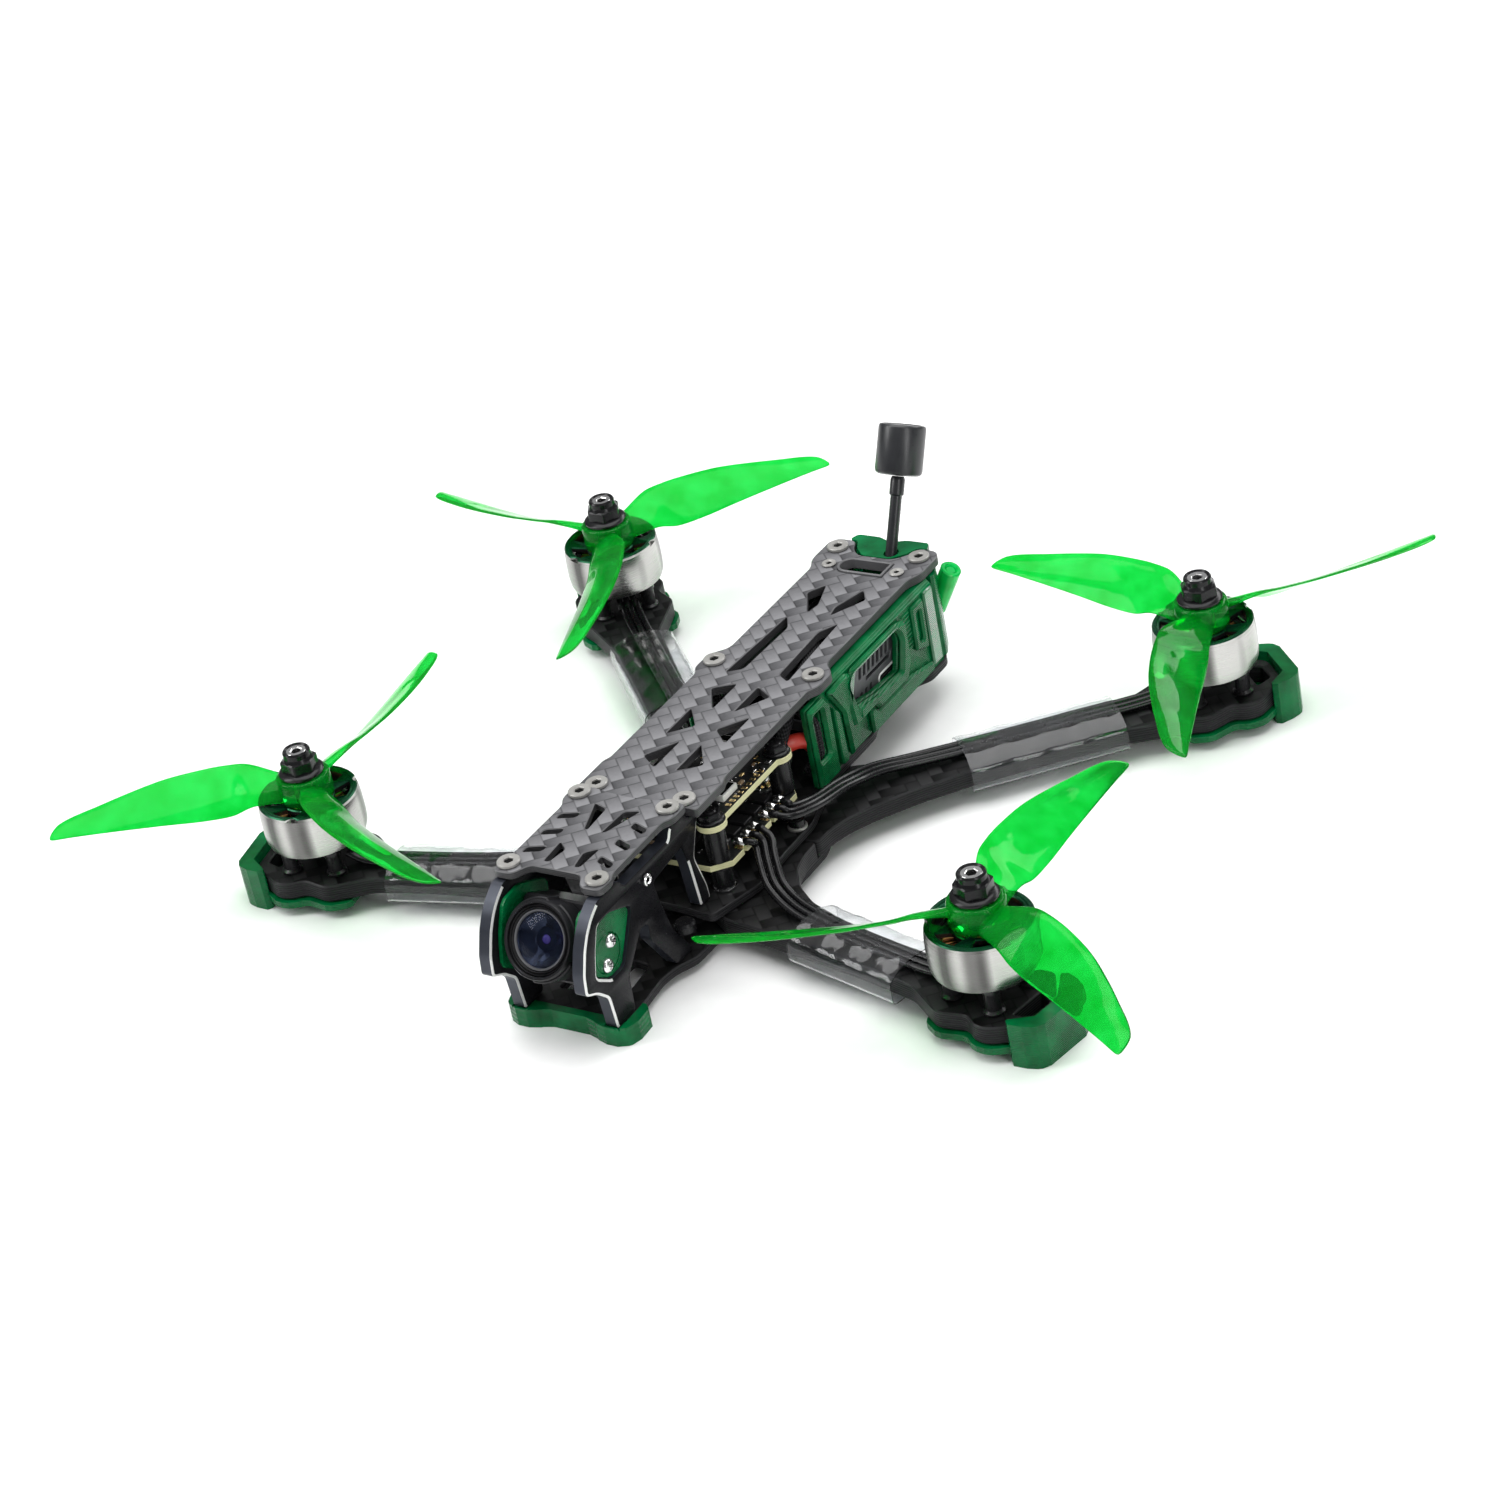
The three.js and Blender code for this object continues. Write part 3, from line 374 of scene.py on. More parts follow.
# for most looks: material name, dark and light colour, the maker's own numbers, other sockets
LOOKS = {
    "carbon_grey": twill(
        "carbon_grey_twill", (0.045, 0.045, 0.049), (0.21, 0.21, 0.22), 0.38, 0.52, specular=0.35),
    "carbon_black": twill(
        "carbon_black_twill", (0.003, 0.003, 0.0032), (0.030, 0.030, 0.031), 0.3, 0.45, specular=0.12),
    "laminate": layered(
        "laminate_edge", (0.004, 0.004, 0.0045), (0.030, 0.030, 0.032), 0.62, 0.35, 0.5, 0.7, specular=0.12),
    "laminate_grey": layered(
        "laminate_edge_grey", (0.022, 0.022, 0.024), (0.06, 0.06, 0.063), 0.45, 0.4, 0.55),
    "edge_grey": grained("carbon_edge_grey", (0.07, 0.07, 0.075), (0.12, 0.12, 0.125), 1.5, 0.35, 0.55),
    "edge_black": grained(
        "carbon_edge_black", (0.012, 0.012, 0.013), (0.030, 0.030, 0.032), 1.5, 0.3, 0.5, specular=0.15),
    "anodised": grained(
        "anodised_black", (0.005, 0.005, 0.006), (0.010, 0.010, 0.012), 4.0, 0.24, 0.36, specular=0.12),
    "slate": grained(
        "anodised_slate", (0.030, 0.034, 0.046), (0.042, 0.047, 0.062), 4.0, 0.3, 0.42, Metallic=0.55),
    # bright look: a painted highlight on chosen bevels of the camera cage, and the metal rim of the video
    # unit's port
    "chamfer": grained(
        "bright_metal_and_painted_highlight", (0.74, 0.74, 0.73), (0.84, 0.84, 0.83), 3.0, 0.25, 0.4, Metallic=0.3),
    "print": clear(
        "printed_green", (0.0, 0.095, 0.026), (0.0005, 0.19, 0.055), 0.16, 0.3, 0.5, transmission=0.22,
        IOR=1.4, specular=0.25),
    "print_layers": clear(
        "printed_green_layers", (0.0, 0.085, 0.023), (0.0005, 0.20, 0.058), 0.16, 0.3, 1.3, transmission=0.22,
        IOR=1.4, specular=0.25),
    "tube": clear(
        "green_tube", (0.0, 0.62, 0.10), (0.01, 0.82, 0.16), 0.08, 0.16, transmission=0.5, IOR=1.45),
    "blade": clear(
        "green_blade", (0.001, 0.50, 0.03), (0.01, 0.64, 0.07), 0.02, 0.06, transmission=0.8, IOR=1.18,
        specular=0.5),
    "silver": brushed("turned_silver"),
    "bell_green": grained(
        "green_anodised", (0.0, 0.045, 0.018), (0.004, 0.075, 0.03), 5.0, 0.22, 0.36, Metallic=0.75),
    "steel": grained(
        "motor_steel", (0.008, 0.008, 0.009), (0.018, 0.018, 0.02), 3.0, 0.24, 0.4, Metallic=0.3),
    "nut": grained(
        "black_nut", (0.006, 0.006, 0.007), (0.013, 0.013, 0.014), 3.0, 0.16, 0.3, Metallic=0.2,
        specular=0.28),
    "bright": grained("bright_steel", (0.7, 0.7, 0.7), (0.9, 0.9, 0.9), 2.5, 0.12, 0.25, Metallic=1.0),
    "screw": grained("satin_screw", (0.27, 0.265, 0.25), (0.36, 0.355, 0.34), 2.5, 0.34, 0.5, Metallic=0.35),
    "hollow": grained(
        "socket_shadow", (0.001, 0.001, 0.001), (0.004, 0.004, 0.004), 2.0, 0.5, 0.7, specular=0.1),
    "copper": wound("copper_winding"),
    "board": circuit("board_mask"),
    "board_edge": layered("board_edge", (0.50, 0.48, 0.24), (0.70, 0.68, 0.42), 0.5, 0.45, 0.6, 0.2),
    "chip": grained("chip_resin", (0.006, 0.006, 0.007), (0.014, 0.014, 0.015), 4.0, 0.3, 0.5),
    "ceramic": grained("ceramic_part", (0.20, 0.13, 0.07), (0.36, 0.26, 0.16), 1.2, 0.3, 0.5),
    "legend": grained("white_legend", (0.62, 0.62, 0.60), (0.85, 0.85, 0.83), 3.0, 0.4, 0.6),
    "gold": grained("gold_pad", (0.72, 0.50, 0.20), (0.92, 0.72, 0.36), 2.0, 0.18, 0.34, Metallic=1.0),
    "solder": grained("solder", (0.72, 0.72, 0.71), (0.9, 0.9, 0.88), 1.2, 0.12, 0.3, Metallic=1.0),
    "video": grained(
        "video_case", (0.085, 0.086, 0.092), (0.115, 0.116, 0.123), 5.0, 0.36, 0.52, Metallic=0.3),
    "plastic": grained(
        "black_plastic", (0.006, 0.006, 0.007), (0.013, 0.013, 0.014), 3.5, 0.3, 0.5, specular=0.18),
    "moulded": grained(
        "camera_case", (0.007, 0.007, 0.008), (0.014, 0.014, 0.016), 3.5, 0.28, 0.42, specular=0.22),
    "grommet": grained("grey_grommet", (0.085, 0.085, 0.09), (0.13, 0.13, 0.135), 3.0, 0.35, 0.5),
    "wire": grained(
        "wire_silicone", (0.003, 0.003, 0.0035), (0.007, 0.007, 0.008), 1.2, 0.2, 0.3, specular=0.28),
    "red": grained("red_shrink", (0.42, 0.02, 0.012), (0.60, 0.05, 0.03), 1.0, 0.3, 0.45),
    "film": clear(
        "clear_film", (0.90, 0.92, 0.94), (0.98, 0.98, 0.99), 0.05, 0.14, transmission=1.0, IOR=1.35),
    "glass": clear(
        "lens_glass", (0.45, 0.50, 0.62), (0.55, 0.60, 0.72), 0.01, 0.03, transmission=1.0, IOR=1.12,
        specular=0.3),
    "iris": grained("lens_barrel", (0.012, 0.016, 0.028), (0.03, 0.038, 0.06), 2.0, 0.1, 0.22, Metallic=0.4),
    "violet": grained(
        "coated_element", (0.06, 0.03, 0.20), (0.16, 0.08, 0.42), 1.0, 0.04, 0.1, Coat_Weight=1.0),
    "braid": braid("braided_sleeve"),
    "antenna": grained("antenna_case", (0.012, 0.013, 0.015), (0.022, 0.023, 0.026), 2.5, 0.26, 0.4),
    "floor": grained("studio_floor", (0.88, 0.88, 0.88), (0.92, 0.92, 0.92), 0.02, 0.6, 0.7, bump=0.02),
}

# ---- outlines ----


def anticlockwise(points):
    area = sum(a[0] * b[1] - b[0] * a[1] for a, b in zip(points, points[1:] + points[:1]))
    return list(points) if area > 0 else list(reversed(points))


def pairs(*numbers):
    """Points from their coordinates, written one after the other."""
    return list(zip(numbers[::2], numbers[1::2]))


def polar(radius, degrees, x=0.0, y=0.0):
    """The point at a distance and an angle from (x, y)."""
    return x + radius * math.cos(math.radians(degrees)), y + radius * math.sin(math.radians(degrees))


def mirrored(half):
    """A closed outline from its +X half, which starts and ends on the centre line."""
    left = [(-x, y) for x, y in half if x]
    return [p for p in half if p[0] or p[1] not in (half[1][1], half[-2][1])] + left[::-1]


def both(points):
    return [list(points), [(-x, y) for x, y in points]]


def rounded(points, radius, steps=4):
    outline = []
    for i, corner in enumerate(points):
        corner = Vector(corner)
        before = Vector(points[i - 1]) - corner
        after = Vector(points[(i + 1) % len(points)]) - corner
        reach = min(radius, before.length * 0.45, after.length * 0.45)
        start = corner + before.normalized() * reach
        end = corner + after.normalized() * reach
        for k in range(steps + 1):
            t = k / steps
            outline.append(tuple((1 - t) ** 2 * start + 2 * t * (1 - t) * corner + t * t * end))
    return outline


def moved_out(points, distance):
    """A closed anticlockwise outline moved outwards, with mitred corners."""
    result = []
    for i, (x, y) in enumerate(points):
        before = Vector((x, y)) - Vector(points[i - 1])
        after = Vector(points[(i + 1) % len(points)]) - Vector((x, y))
        first = Vector((before.y, -before.x)).normalized()
        second = Vector((after.y, -after.x)).normalized()
        mitre = (first + second).normalized()
        mitre *= distance / max(mitre.dot(first), 0.45)
        result.append((x + mitre.x, y + mitre.y))
    return result


def circle(x, y, radius, sides=28):
    return [polar(radius, 360 * k / sides, x, y) for k in range(sides)]


def box_outline(x0, y0, x1, y1):
    return pairs(x0, y0, x1, y0, x1, y1, x0, y1)


def smooth_path(points, steps=8):
    """Catmull-Rom line through the points."""
    nodes = [Vector(p) for p in points]
    nodes = [2 * nodes[0] - nodes[1], *nodes, 2 * nodes[-1] - nodes[-2]]
    path = []
    for a, b, c, d in zip(nodes, nodes[1:], nodes[2:], nodes[3:]):
        for k in range(steps):
            t = k / steps
            path.append(0.5 * (2 * b + (c - a) * t + (2 * a - 5 * b + 4 * c - d) * t * t
                               + (3 * b - a - 3 * c + d) * t ** 3))
    return path + [nodes[-2]]


# extrusion along X from an outline in Y and Z, and along Y from an outline in X and Z
ALONG_X = Matrix(((0, 0, 1, 0), (1, 0, 0, 0), (0, 1, 0, 0), (0, 0, 0, 1)))
ALONG_Y = Matrix(((1, 0, 0, 0), (0, 0, 1, 0), (0, 1, 0, 0), (0, 0, 0, 1)))


def turn(degrees, axis="Z"):
    return Matrix.Rotation(math.radians(degrees), 4, axis)


def at(x, y, z, degrees=0.0, axis="Z"):
    return Matrix.Translation((x, y, z)) @ turn(degrees, axis)


def mirror(side):
    return Matrix.Scale(side, 4, (1, 0, 0))


# ---- pieces ----


class Piece:
    """Faces gathered from several closed shapes, which become one object."""

    def __init__(self, place=None):
        self.place = place or Matrix.Identity(4)
        self.vertices, self.faces, self.looks, self.names = [], [], [], []

    def look(self, name):
        if name not in self.names:
            self.names.append(name)
        return self.names.index(name)

    def add(self, vertices, faces, looks, place=None):
        start = len(self.vertices)
        place = self.place @ (place or Matrix.Identity(4))
        self.vertices += [place @ Vector(v) for v in vertices]
        self.faces += [[start + i for i in face] for face in faces]
        self.looks += [self.look(name) for name in looks]

    def slab(self, outer, low, high, looks, bevel=0.2, holes=(), place=None, warp=None, depth=None):
        """A plate with bevelled rims. looks: one name, or (faces, sides, bevels); the last may be a
        function of a point and the outward direction there."""
        face, side, edge = (looks,) * 3 if isinstance(looks, str) else looks
        depth = depth or bevel
        loops = [(anticlockwise(outer), -bevel)] + [(anticlockwise(h), bevel) for h in holes]
        levels = pairs(low, 1, low + depth, 0, high - depth, 0, high, 1) if bevel else [(low, 0), (high, 0)]
        vertices, faces, names, rings = [], [], [], []
        for loop, reach in loops:
            rings.append([])
            for z, share in levels:
                rings[-1].append(len(vertices))
                vertices += [(x, y, z) for x, y in (moved_out(loop, reach * share) if share else loop)]
        for (loop, _), starts in zip(loops, rings):
            n = len(loop)
            for level, (lower, upper) in enumerate(zip(starts, starts[1:])):
                for i in range(n):
                    j = (i + 1) % n
                    faces.append((lower + i, lower + j, upper + j, upper + i))
                    if level == 1 or not bevel:
                        names.append(side)
                    elif callable(edge):
                        out = Vector((loop[j][1] - loop[i][1], loop[i][0] - loop[j][0])).normalized()
                        names.append(edge(loop[i], out if starts is rings[0] else -out))
                    else:
                        names.append(edge)
        for level in (0, -1):
            loops_3d = [[Vector(vertices[r[level] + i]) for i in range(len(loop))] for (loop, _),
                        r in zip(loops, rings)]
            index = [r[level] + i for (loop, _), r in zip(loops, rings) for i in range(len(loop))]
            caps = tessellate_polygon(loops_3d)
            faces += [tuple(index[i] for i in cap) for cap in caps]
            names += [face] * len(caps)
        if warp:
            vertices = [warp(*v) for v in vertices]
        self.add(vertices, faces, names, place)

    def turned(self, profile, looks, segments=40, place=None):
        """Surface of revolution about Z from (radius, height) pairs; a closed profile makes a ring."""
        looks = [looks] * len(profile) if isinstance(looks, str) else looks
        vertices, faces, names, rings = [], [], [], []
        for radius, z in profile:
            rings.append((len(vertices), radius > 0))
            if radius > 0:
                vertices += [(x, y, z) for x, y in circle(0, 0, radius, segments)]
            else:
                vertices.append((0, 0, z))
        for (a, wide), (b, broad), name in zip(rings, rings[1:] + rings[:1], looks):
            for i in range(segments):
                j = (i + 1) % segments
                corners = ([a + i, a + j] if wide else [a]) + ([b + j, b + i] if broad else [b])
                if len(corners) > 2:
                    faces.append(tuple(corners))
                    names.append(name)
        self.add(vertices, faces, names, place)

    def block(self, low, high, looks, bevel=0.15, place=None):
        outline = box_outline(low[0], low[1], high[0], high[1])
        self.slab(rounded(outline, bevel * 1.5, 2), low[2], high[2], looks, bevel, place=place)

    def tube(self, path, radius, look, sides=12, ends=True):
        """Round bar along a line; radius may be a list, one for each point."""
        radii = radius if isinstance(radius, list) else [radius] * len(path)
        side = Vector((0, 0, 1))
        vertices, faces = [], []
        for i, (point, r) in enumerate(zip(path, radii)):
            forward = (path[min(i + 1, len(path) - 1)] - path[max(i - 1, 0)]).normalized()
            side = side - forward * side.dot(forward)
            side = side.normalized() if side.length > 1e-4 else forward.orthogonal().normalized()
            other = forward.cross(side)
            vertices += [point + r * (math.cos(a) * side + math.sin(a) * other)
                         for a in (2 * math.pi * k / sides for k in range(sides))]
        for i in range(len(path) - 1):
            for k in range(sides):
                m = (k + 1) % sides
                faces.append((i * sides + k, i * sides + m, (i + 1) * sides + m, (i + 1) * sides + k))
        if ends:
            last = (len(path) - 1) * sides
            faces += [tuple(range(sides)), tuple(range(last, last + sides))]
        self.add(vertices, faces, [look] * len(faces))

    def loft(self, rings, looks, close=False, place=None):
        """Closed body through rings of equal point counts; close joins the last ring to the first."""
        n = len(rings[0])
        vertices = [v for ring in rings for v in ring]
        faces = []
        pairs = len(rings) if close else len(rings) - 1
        for r in range(pairs):
            a, b = r * n, (r + 1) % len(rings) * n
            faces += [(a + k, a + (k + 1) % n, b + (k + 1) % n, b + k) for k in range(n)]
        if not close:
            faces += [tuple(range(n)), tuple(range(len(vertices) - n, len(vertices)))]
        self.add(vertices, faces, [looks] * len(faces), place)

    def screw(self, x, y, z, radius=2.8, height=1.1, look="screw", socket=1.25, place=None):
        """Flat screw head with a hexagon socket, standing on height z."""
        spot = (place or Matrix.Identity(4)) @ at(x, y, z)
        self.slab(circle(0, 0, radius), 0.05, height, look, 0.25, [circle(0, 0, socket, 6)], place=spot)
        # near-black painted shadow inside the hexagon socket
        self.slab(circle(0, 0, socket + 0.3, 6), 0.06, height * 0.45, "hollow", 0, place=spot)

    def shown(self, name):
        """The piece as an object, with its looks."""
        mesh = bpy.data.meshes.new(name)
        mesh.from_pydata([tuple(v * MM) for v in self.vertices], [], self.faces)
        for look in self.names:
            mesh.materials.append(LOOKS[look])
        mesh.polygons.foreach_set("material_index", self.looks)
        return linked(name, mesh)

    def finish(self, name, body="frame", replaces=(), angle=32):
        """The piece shaded smoothly up to an angle, on its body, in place of its CAD nodes."""
        piece = self.shown(name)
        mesh = piece.data
        shape = bmesh.new()
        shape.from_mesh(mesh)
        bmesh.ops.recalc_face_normals(shape, faces=shape.faces)
        shape.to_mesh(mesh)
        shape.free()
        mesh.polygons.foreach_set("use_smooth", [True] * len(mesh.polygons))
        mesh.set_sharp_from_angle(angle=math.radians(angle))
        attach(piece, body)
        if replaces:
            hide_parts(*replaces)


def keep(node, look, bevel):
    """A CAD node that stays, with its flat facets joined and its edges softened."""
    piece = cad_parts[node]
    piece.data.materials.clear()
    piece.data.materials.append(LOOKS[look])
    flat = piece.modifiers.new("flat_facets", "DECIMATE")
    flat.decimate_type = "DISSOLVE"
    flat.angle_limit = math.radians(2)
    soft = piece.modifiers.new("soft_edges", "BEVEL")
    soft.width = bevel * MM
    soft.segments = 3
    soft.limit_method = "ANGLE"
    soft.angle_limit = math.radians(28)
    even = piece.modifiers.new("even_shading", "WEIGHTED_NORMAL")
    even.keep_sharp = True
    piece.data.polygons.foreach_set("use_smooth", [True] * len(piece.data.polygons))
    piece.data.set_sharp_from_angle(angle=math.radians(40))


# ---- levels and places shared by several pieces ----


def heights(node):
    """The lowest and highest points of a CAD node."""
    return [corner.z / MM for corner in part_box(node)]


ARM_LOW, ARM_HIGH = heights("arm_front_left")
MIDDLE_LOW, MIDDLE_HIGH = heights("middle_plate")
TOP_LOW, TOP_HIGH = heights("top_plate")
FRONT_LOW, FRONT_HIGH = heights("front_top_plate")
FLOOR = MIDDLE_HIGH + 0.3
STACK_Y = -35
STACK_BOLT = 15.25  # half the distance between the stack's bolts
STACK_CORNERS = [(a * STACK_BOLT, b * STACK_BOLT) for a in (1, -1) for b in (1, -1)]
REAR_POST = (12, 61.1)
EAR_POST = (14.3, 2.7)

# ---- carbon plates ----

NOSE_HALF = pairs(
    0, -96, 14.3, -96, 14.8, -90, 13.6, -79, 14.4, -74, 17.2, -68.5, 17.4, -60, 20, -55, 24.4, -43, 24.4, -20,
    20, -5, 15, 6, 13, 11, 0, 11)
MIDDLE_HALF = pairs(
    0, -60.6, 10, -60.8, 18.6, -62, 20.5, -56, 23.2, -47, 22.8, -39, 22.3, -34, 22.3, -20, 19.5, -10,
    16.5, -2, 16.8, 13, 16.8, 21, 15, 25, 15, 46, 17.5, 49.5, 17.5, 58, 14, 63, 0, 63)
TOP_HALF = pairs(
    0, -57.8, 7.5, -57.8, 15, -57.2, 17.2, -57.5, 17.2, -45, 16.3, -43, 16.3, -3.5, 18, -1, 18, 5.5,
    14.2, 9.5, 14.2, 50.5, 16.2, 54.5, 16.2, 63.5, 14.5, 65.8, 9.2, 65.8, 8, 62, 5, 59.1, 0, 59.1)
TOP_WINDOWS = [
    pairs(-8.5, 39, -5.5, 43.5, -2.5, 34, -3.3, 30),
    pairs(-7.5, 27, -4.5, 22, -5.2, 1.5, -9, -1),
    pairs(-8.5, -8.5, -3, -5, -3, -17),
    pairs(-8.5, -18, -3, -25, -8.5, -30),
    pairs(-3, -32, -8.5, -40, -3, -44),
]
FRONT_HALF = pairs(
    0, -91, 7, -91, 9.5, -95.5, 14.8, -95.5, 15.4, -91, 14, -88, 14, -67, 15.6, -64.5, 15.6, -58.4, 9, -58.4,
    7, -59, 0, -59.6)
FRONT_WINDOWS = [
    *(pairs(-12.2, y - 2, -7.6, y - 0.2, -7.6, y + 2, -12.2, y + 0.2) for y in (-70.5, -77.5, -85)),
    pairs(-6.5, -64, -2.5, -65.5, -2, -74.5, -3, -74),
    pairs(-5.5, -80.5, -2.5, -83, -3.5, -88.5, -5, -88.5),
]
LEAD_SLOT = [(7, 50), (7, 57)] + [polar(3.5, 90 + 15 * k, -4, 53.5) for k in range(13)]
GREY = ("carbon_grey", "laminate_grey", "edge_grey")
BLACK = ("carbon_black", "laminate", "edge_black")
PLATE_BEVEL = 0.22


def carbon_plates():
    plate = Piece()
    nose_holes = [rounded(h, 1.2) for h in both(pairs(2.6, -88.4, 8.8, -89.4, 7.8, -75, 2.8, -74.2))]
    plate.slab(rounded(mirrored(NOSE_HALF), 1.6), *heights("bottom_plate"), BLACK, PLATE_BEVEL, nose_holes)
    plate.finish("carbon_bottom_plate", replaces=["bottom_plate"])

    plate = Piece()
    plate.slab(rounded(mirrored(MIDDLE_HALF), 1.8), MIDDLE_LOW, MIDDLE_HIGH, BLACK, PLATE_BEVEL)
    for side in (1, -1):
        plate.turned(pairs(
            0, 10, 2.5, 10, 2.5, 10.45, 2.3, 10.7, 0, 10.7), "screw", place=at(side * 19.6, -22.9, 0))
        plate.screw(side * 19.6, -22.9, 10.6, 2.05, 2.0, "nut", 1.1)
    plate.finish("carbon_middle_plate", replaces=["middle_plate"])

    plate = Piece()
    screws = [(s * x, y) for x, y in (REAR_POST, EAR_POST, (12.4, -54.8)) for s in (1, -1)]
    holes = [rounded(h, 1.0) for w in TOP_WINDOWS for h in both(w)]
    plate.slab(rounded(mirrored(TOP_HALF), 1.8), TOP_LOW, TOP_HIGH, GREY, PLATE_BEVEL,
               [*holes, LEAD_SLOT, *(circle(x, y, 1.8, 20) for x, y in screws)])
    for side in (1, -1):
        plate.screw(side * 10, 52.9, TOP_HIGH, 1.9, 0.7, "screw", 0.8)
    plate.finish("carbon_top_plate", replaces=["top_plate"])

    plate = Piece()
    holes = [rounded(h, 0.9) for w in FRONT_WINDOWS for h in both(w)]
    screws = [(s * x, y) for x, y in ((12.4, -61.6), (12.3, -92)) for s in (1, -1)]
    plate.slab(rounded(mirrored(FRONT_HALF), 1.6), FRONT_LOW, FRONT_HIGH, GREY, PLATE_BEVEL,
               [*holes, *(circle(x, y, 1.8, 20) for x, y in screws)])
    plate.finish("carbon_front_plate", replaces=["front_top_plate"])

    rim = Piece()
    inner = moved_out(anticlockwise(LEAD_SLOT), -0.75)
    outer = moved_out(anticlockwise(LEAD_SLOT), -0.1)
    rim.slab(outer, TOP_LOW + 0.1, TOP_HIGH + 0.6, "grommet", 0.25, [inner])
    rim.finish("grommet_of_lead_slot", replaces=["lead_grommet"])


# ---- arms, motors and propellers ----

MOTOR_BOLT = 8.77  # from the motor's axis to its bolts
ARM_END = pairs(
    -10, -11, -5.5, -12.9, 1.4, -10.4, 5, -12.5, 8.5, -12.2, 12.5, -9, 17, -5, 17, 5, 12.5, 9, 8.5, 12.2,
    5, 12.5, 1.4, 10.4, -5.5, 12.9, -10, 11)
FRONT_MOTOR = {
    "centre": (94.8, -65.4),
    "turn": -12,
    "before": pairs(0.3, -24.2, 0.3, -45, 9, -52, 19.5, -59, 30, -60.4, 60, -65.6, 77, -69.8),
    "after": pairs(
        79, -58, 60, -54.3, 46, -50.2, 37, -46.5, 30.5, -41.5, 26.5, -35.5, 25.3, -30, 25.3, -24.2),
    "wires": [(17.4, -40, 18.3), (19.6, -40, 18.6), (21.6, -40.2, 17.2), (24.6, -44, 14.6), (29, -48.4, 11.2),
              (37, -52.6, 9.4), (48, -56.2, 9), (64, -60.4, 9), (80, -63.8, 9), (86, -65, 11.5)],
    "sleeve": ((42, -55.6), (74, -63.2), 8.2),
}
REAR_MOTOR = {
    "centre": (88.4, 65.4),
    "turn": 46,
    "before": pairs(
        0.3, -23.9, 25.3, -23.9, 25.8, -18, 27.5, -12.5, 31, -6, 38, 4, 47, 14.5, 60, 27.3, 75, 41.3),
    "after": pairs(70, 55, 55, 39.5, 43, 27.5, 35, 20.3, 25, 13.5, 15, 8, 0.3, 8),
    "wires": [
        (17.4, -28, 18.3), (19.6, -28, 18.6), (21.6, -27, 17.4), (23.6, -19, 15.4), (23.8, -6, 12.6),
        (26.6, 4.6, 10.6), (34, 13.6, 9.4), (46, 25.2, 9), (62, 40.4, 9), (77, 54.8, 9), (82, 59.6, 11.5)],
    "sleeve": ((42, 19.5), (71, 47.5), 8.6),
}
CORNERS = [
    ("front_left", FRONT_MOTOR, -1, -1, 96.9), ("front_right", FRONT_MOTOR, 1, 1, 84.7),
    ("rear_left", REAR_MOTOR, -1, 1, 50.5), ("rear_right", REAR_MOTOR, 1, -1, 51.7)]


def at_motor(points, motor):
    angle = math.radians(motor["turn"])
    x, y = motor["centre"]
    return [(x + a * math.cos(angle) - b * math.sin(angle), y + a * math.sin(angle) + b * math.cos(angle))
            for a, b in points]


def sided(points, side):
    return [(side * p[0], *p[1:]) for p in points]


def heading(motor, side):
    return motor["turn"] if side > 0 else 180 - motor["turn"]


def make_arm(name, motor, side):
    arm = Piece()
    outline = [*motor["before"], *at_motor(ARM_END, motor), *motor["after"]]
    holes = [circle(*p, 1.3, 16) for p in sided(at_motor(
        [(a * 6.2, b * 6.2) for a in (1, -1) for b in (1, -1)], motor), side)]
    window = rounded(sided(at_motor(pairs(10.4, -5, 14.6, -3, 14.6, 3, 10.4, 5), motor), side), 0.8)
    arm.slab(rounded(sided(outline, side), 1.6), ARM_LOW, ARM_HIGH, BLACK, 0.35, [*holes, window])
    x, y = motor["centre"]
    for angle in (45, 135, 225, 315):
        bolt_x, bolt_y = polar(MOTOR_BOLT, angle + heading(motor, side), side * x, y)
        arm.screw(-bolt_x, bolt_y, -ARM_LOW, 2.2, 0.9, "nut", 1.0, place=turn(180, "Y"))
    arm.finish(f"carbon_arm_{name}", replaces=[f"arm_{name}"])
    keep(f"arm_guard_{name}", "print", 0.7)


PAD_PITCH, WIRE_PITCH, WIRE_RADIUS = 3.5, 1.98, 0.9


def make_wires(name, motor, side):
    bundle = Piece()
    middle = smooth_path(motor["wires"], 9)
    generator = random.Random(name)
    for k in (-1, 0, 1):
        phase = generator.uniform(0, 6.28)
        path = []
        for i, point in enumerate(middle):
            # side by side at the solder pads, then across the arm
            step = middle[min(i + 1, len(middle) - 1)] - middle[max(i - 1, 0)]
            across = Vector((step.y, -step.x, 0)).normalized()
            share = min(i / 22, 1)
            spread = PAD_PITCH * (1 - share) + WIRE_PITCH * share
            lift = 0.35 * math.sin(phase + i * 0.16) * share * (1 - i / len(middle))
            start = Vector((0, -1, 0)) * (1 - share) + across * share
            path.append(point + start.normalized() * spread * k + Vector((0, 0, abs(lift))))
        bundle.tube([Vector((side * p.x, p.y, p.z)) for p in path], WIRE_RADIUS, "wire")
        joint = [Vector((side * (path[0].x + d), path[0].y, z)) for d, z in (
            (-2.0, 17.9), (-1.4, 18.35), (-0.4, 18.5), (0.6, 18.3), (1.2, 18.0))]
        bundle.tube(joint, [0.5, 1.15, 1.25, 1.0, 0.75], "solder")
    bundle.finish(f"motor_wires_{name}", replaces=[f"wires_{name}"])


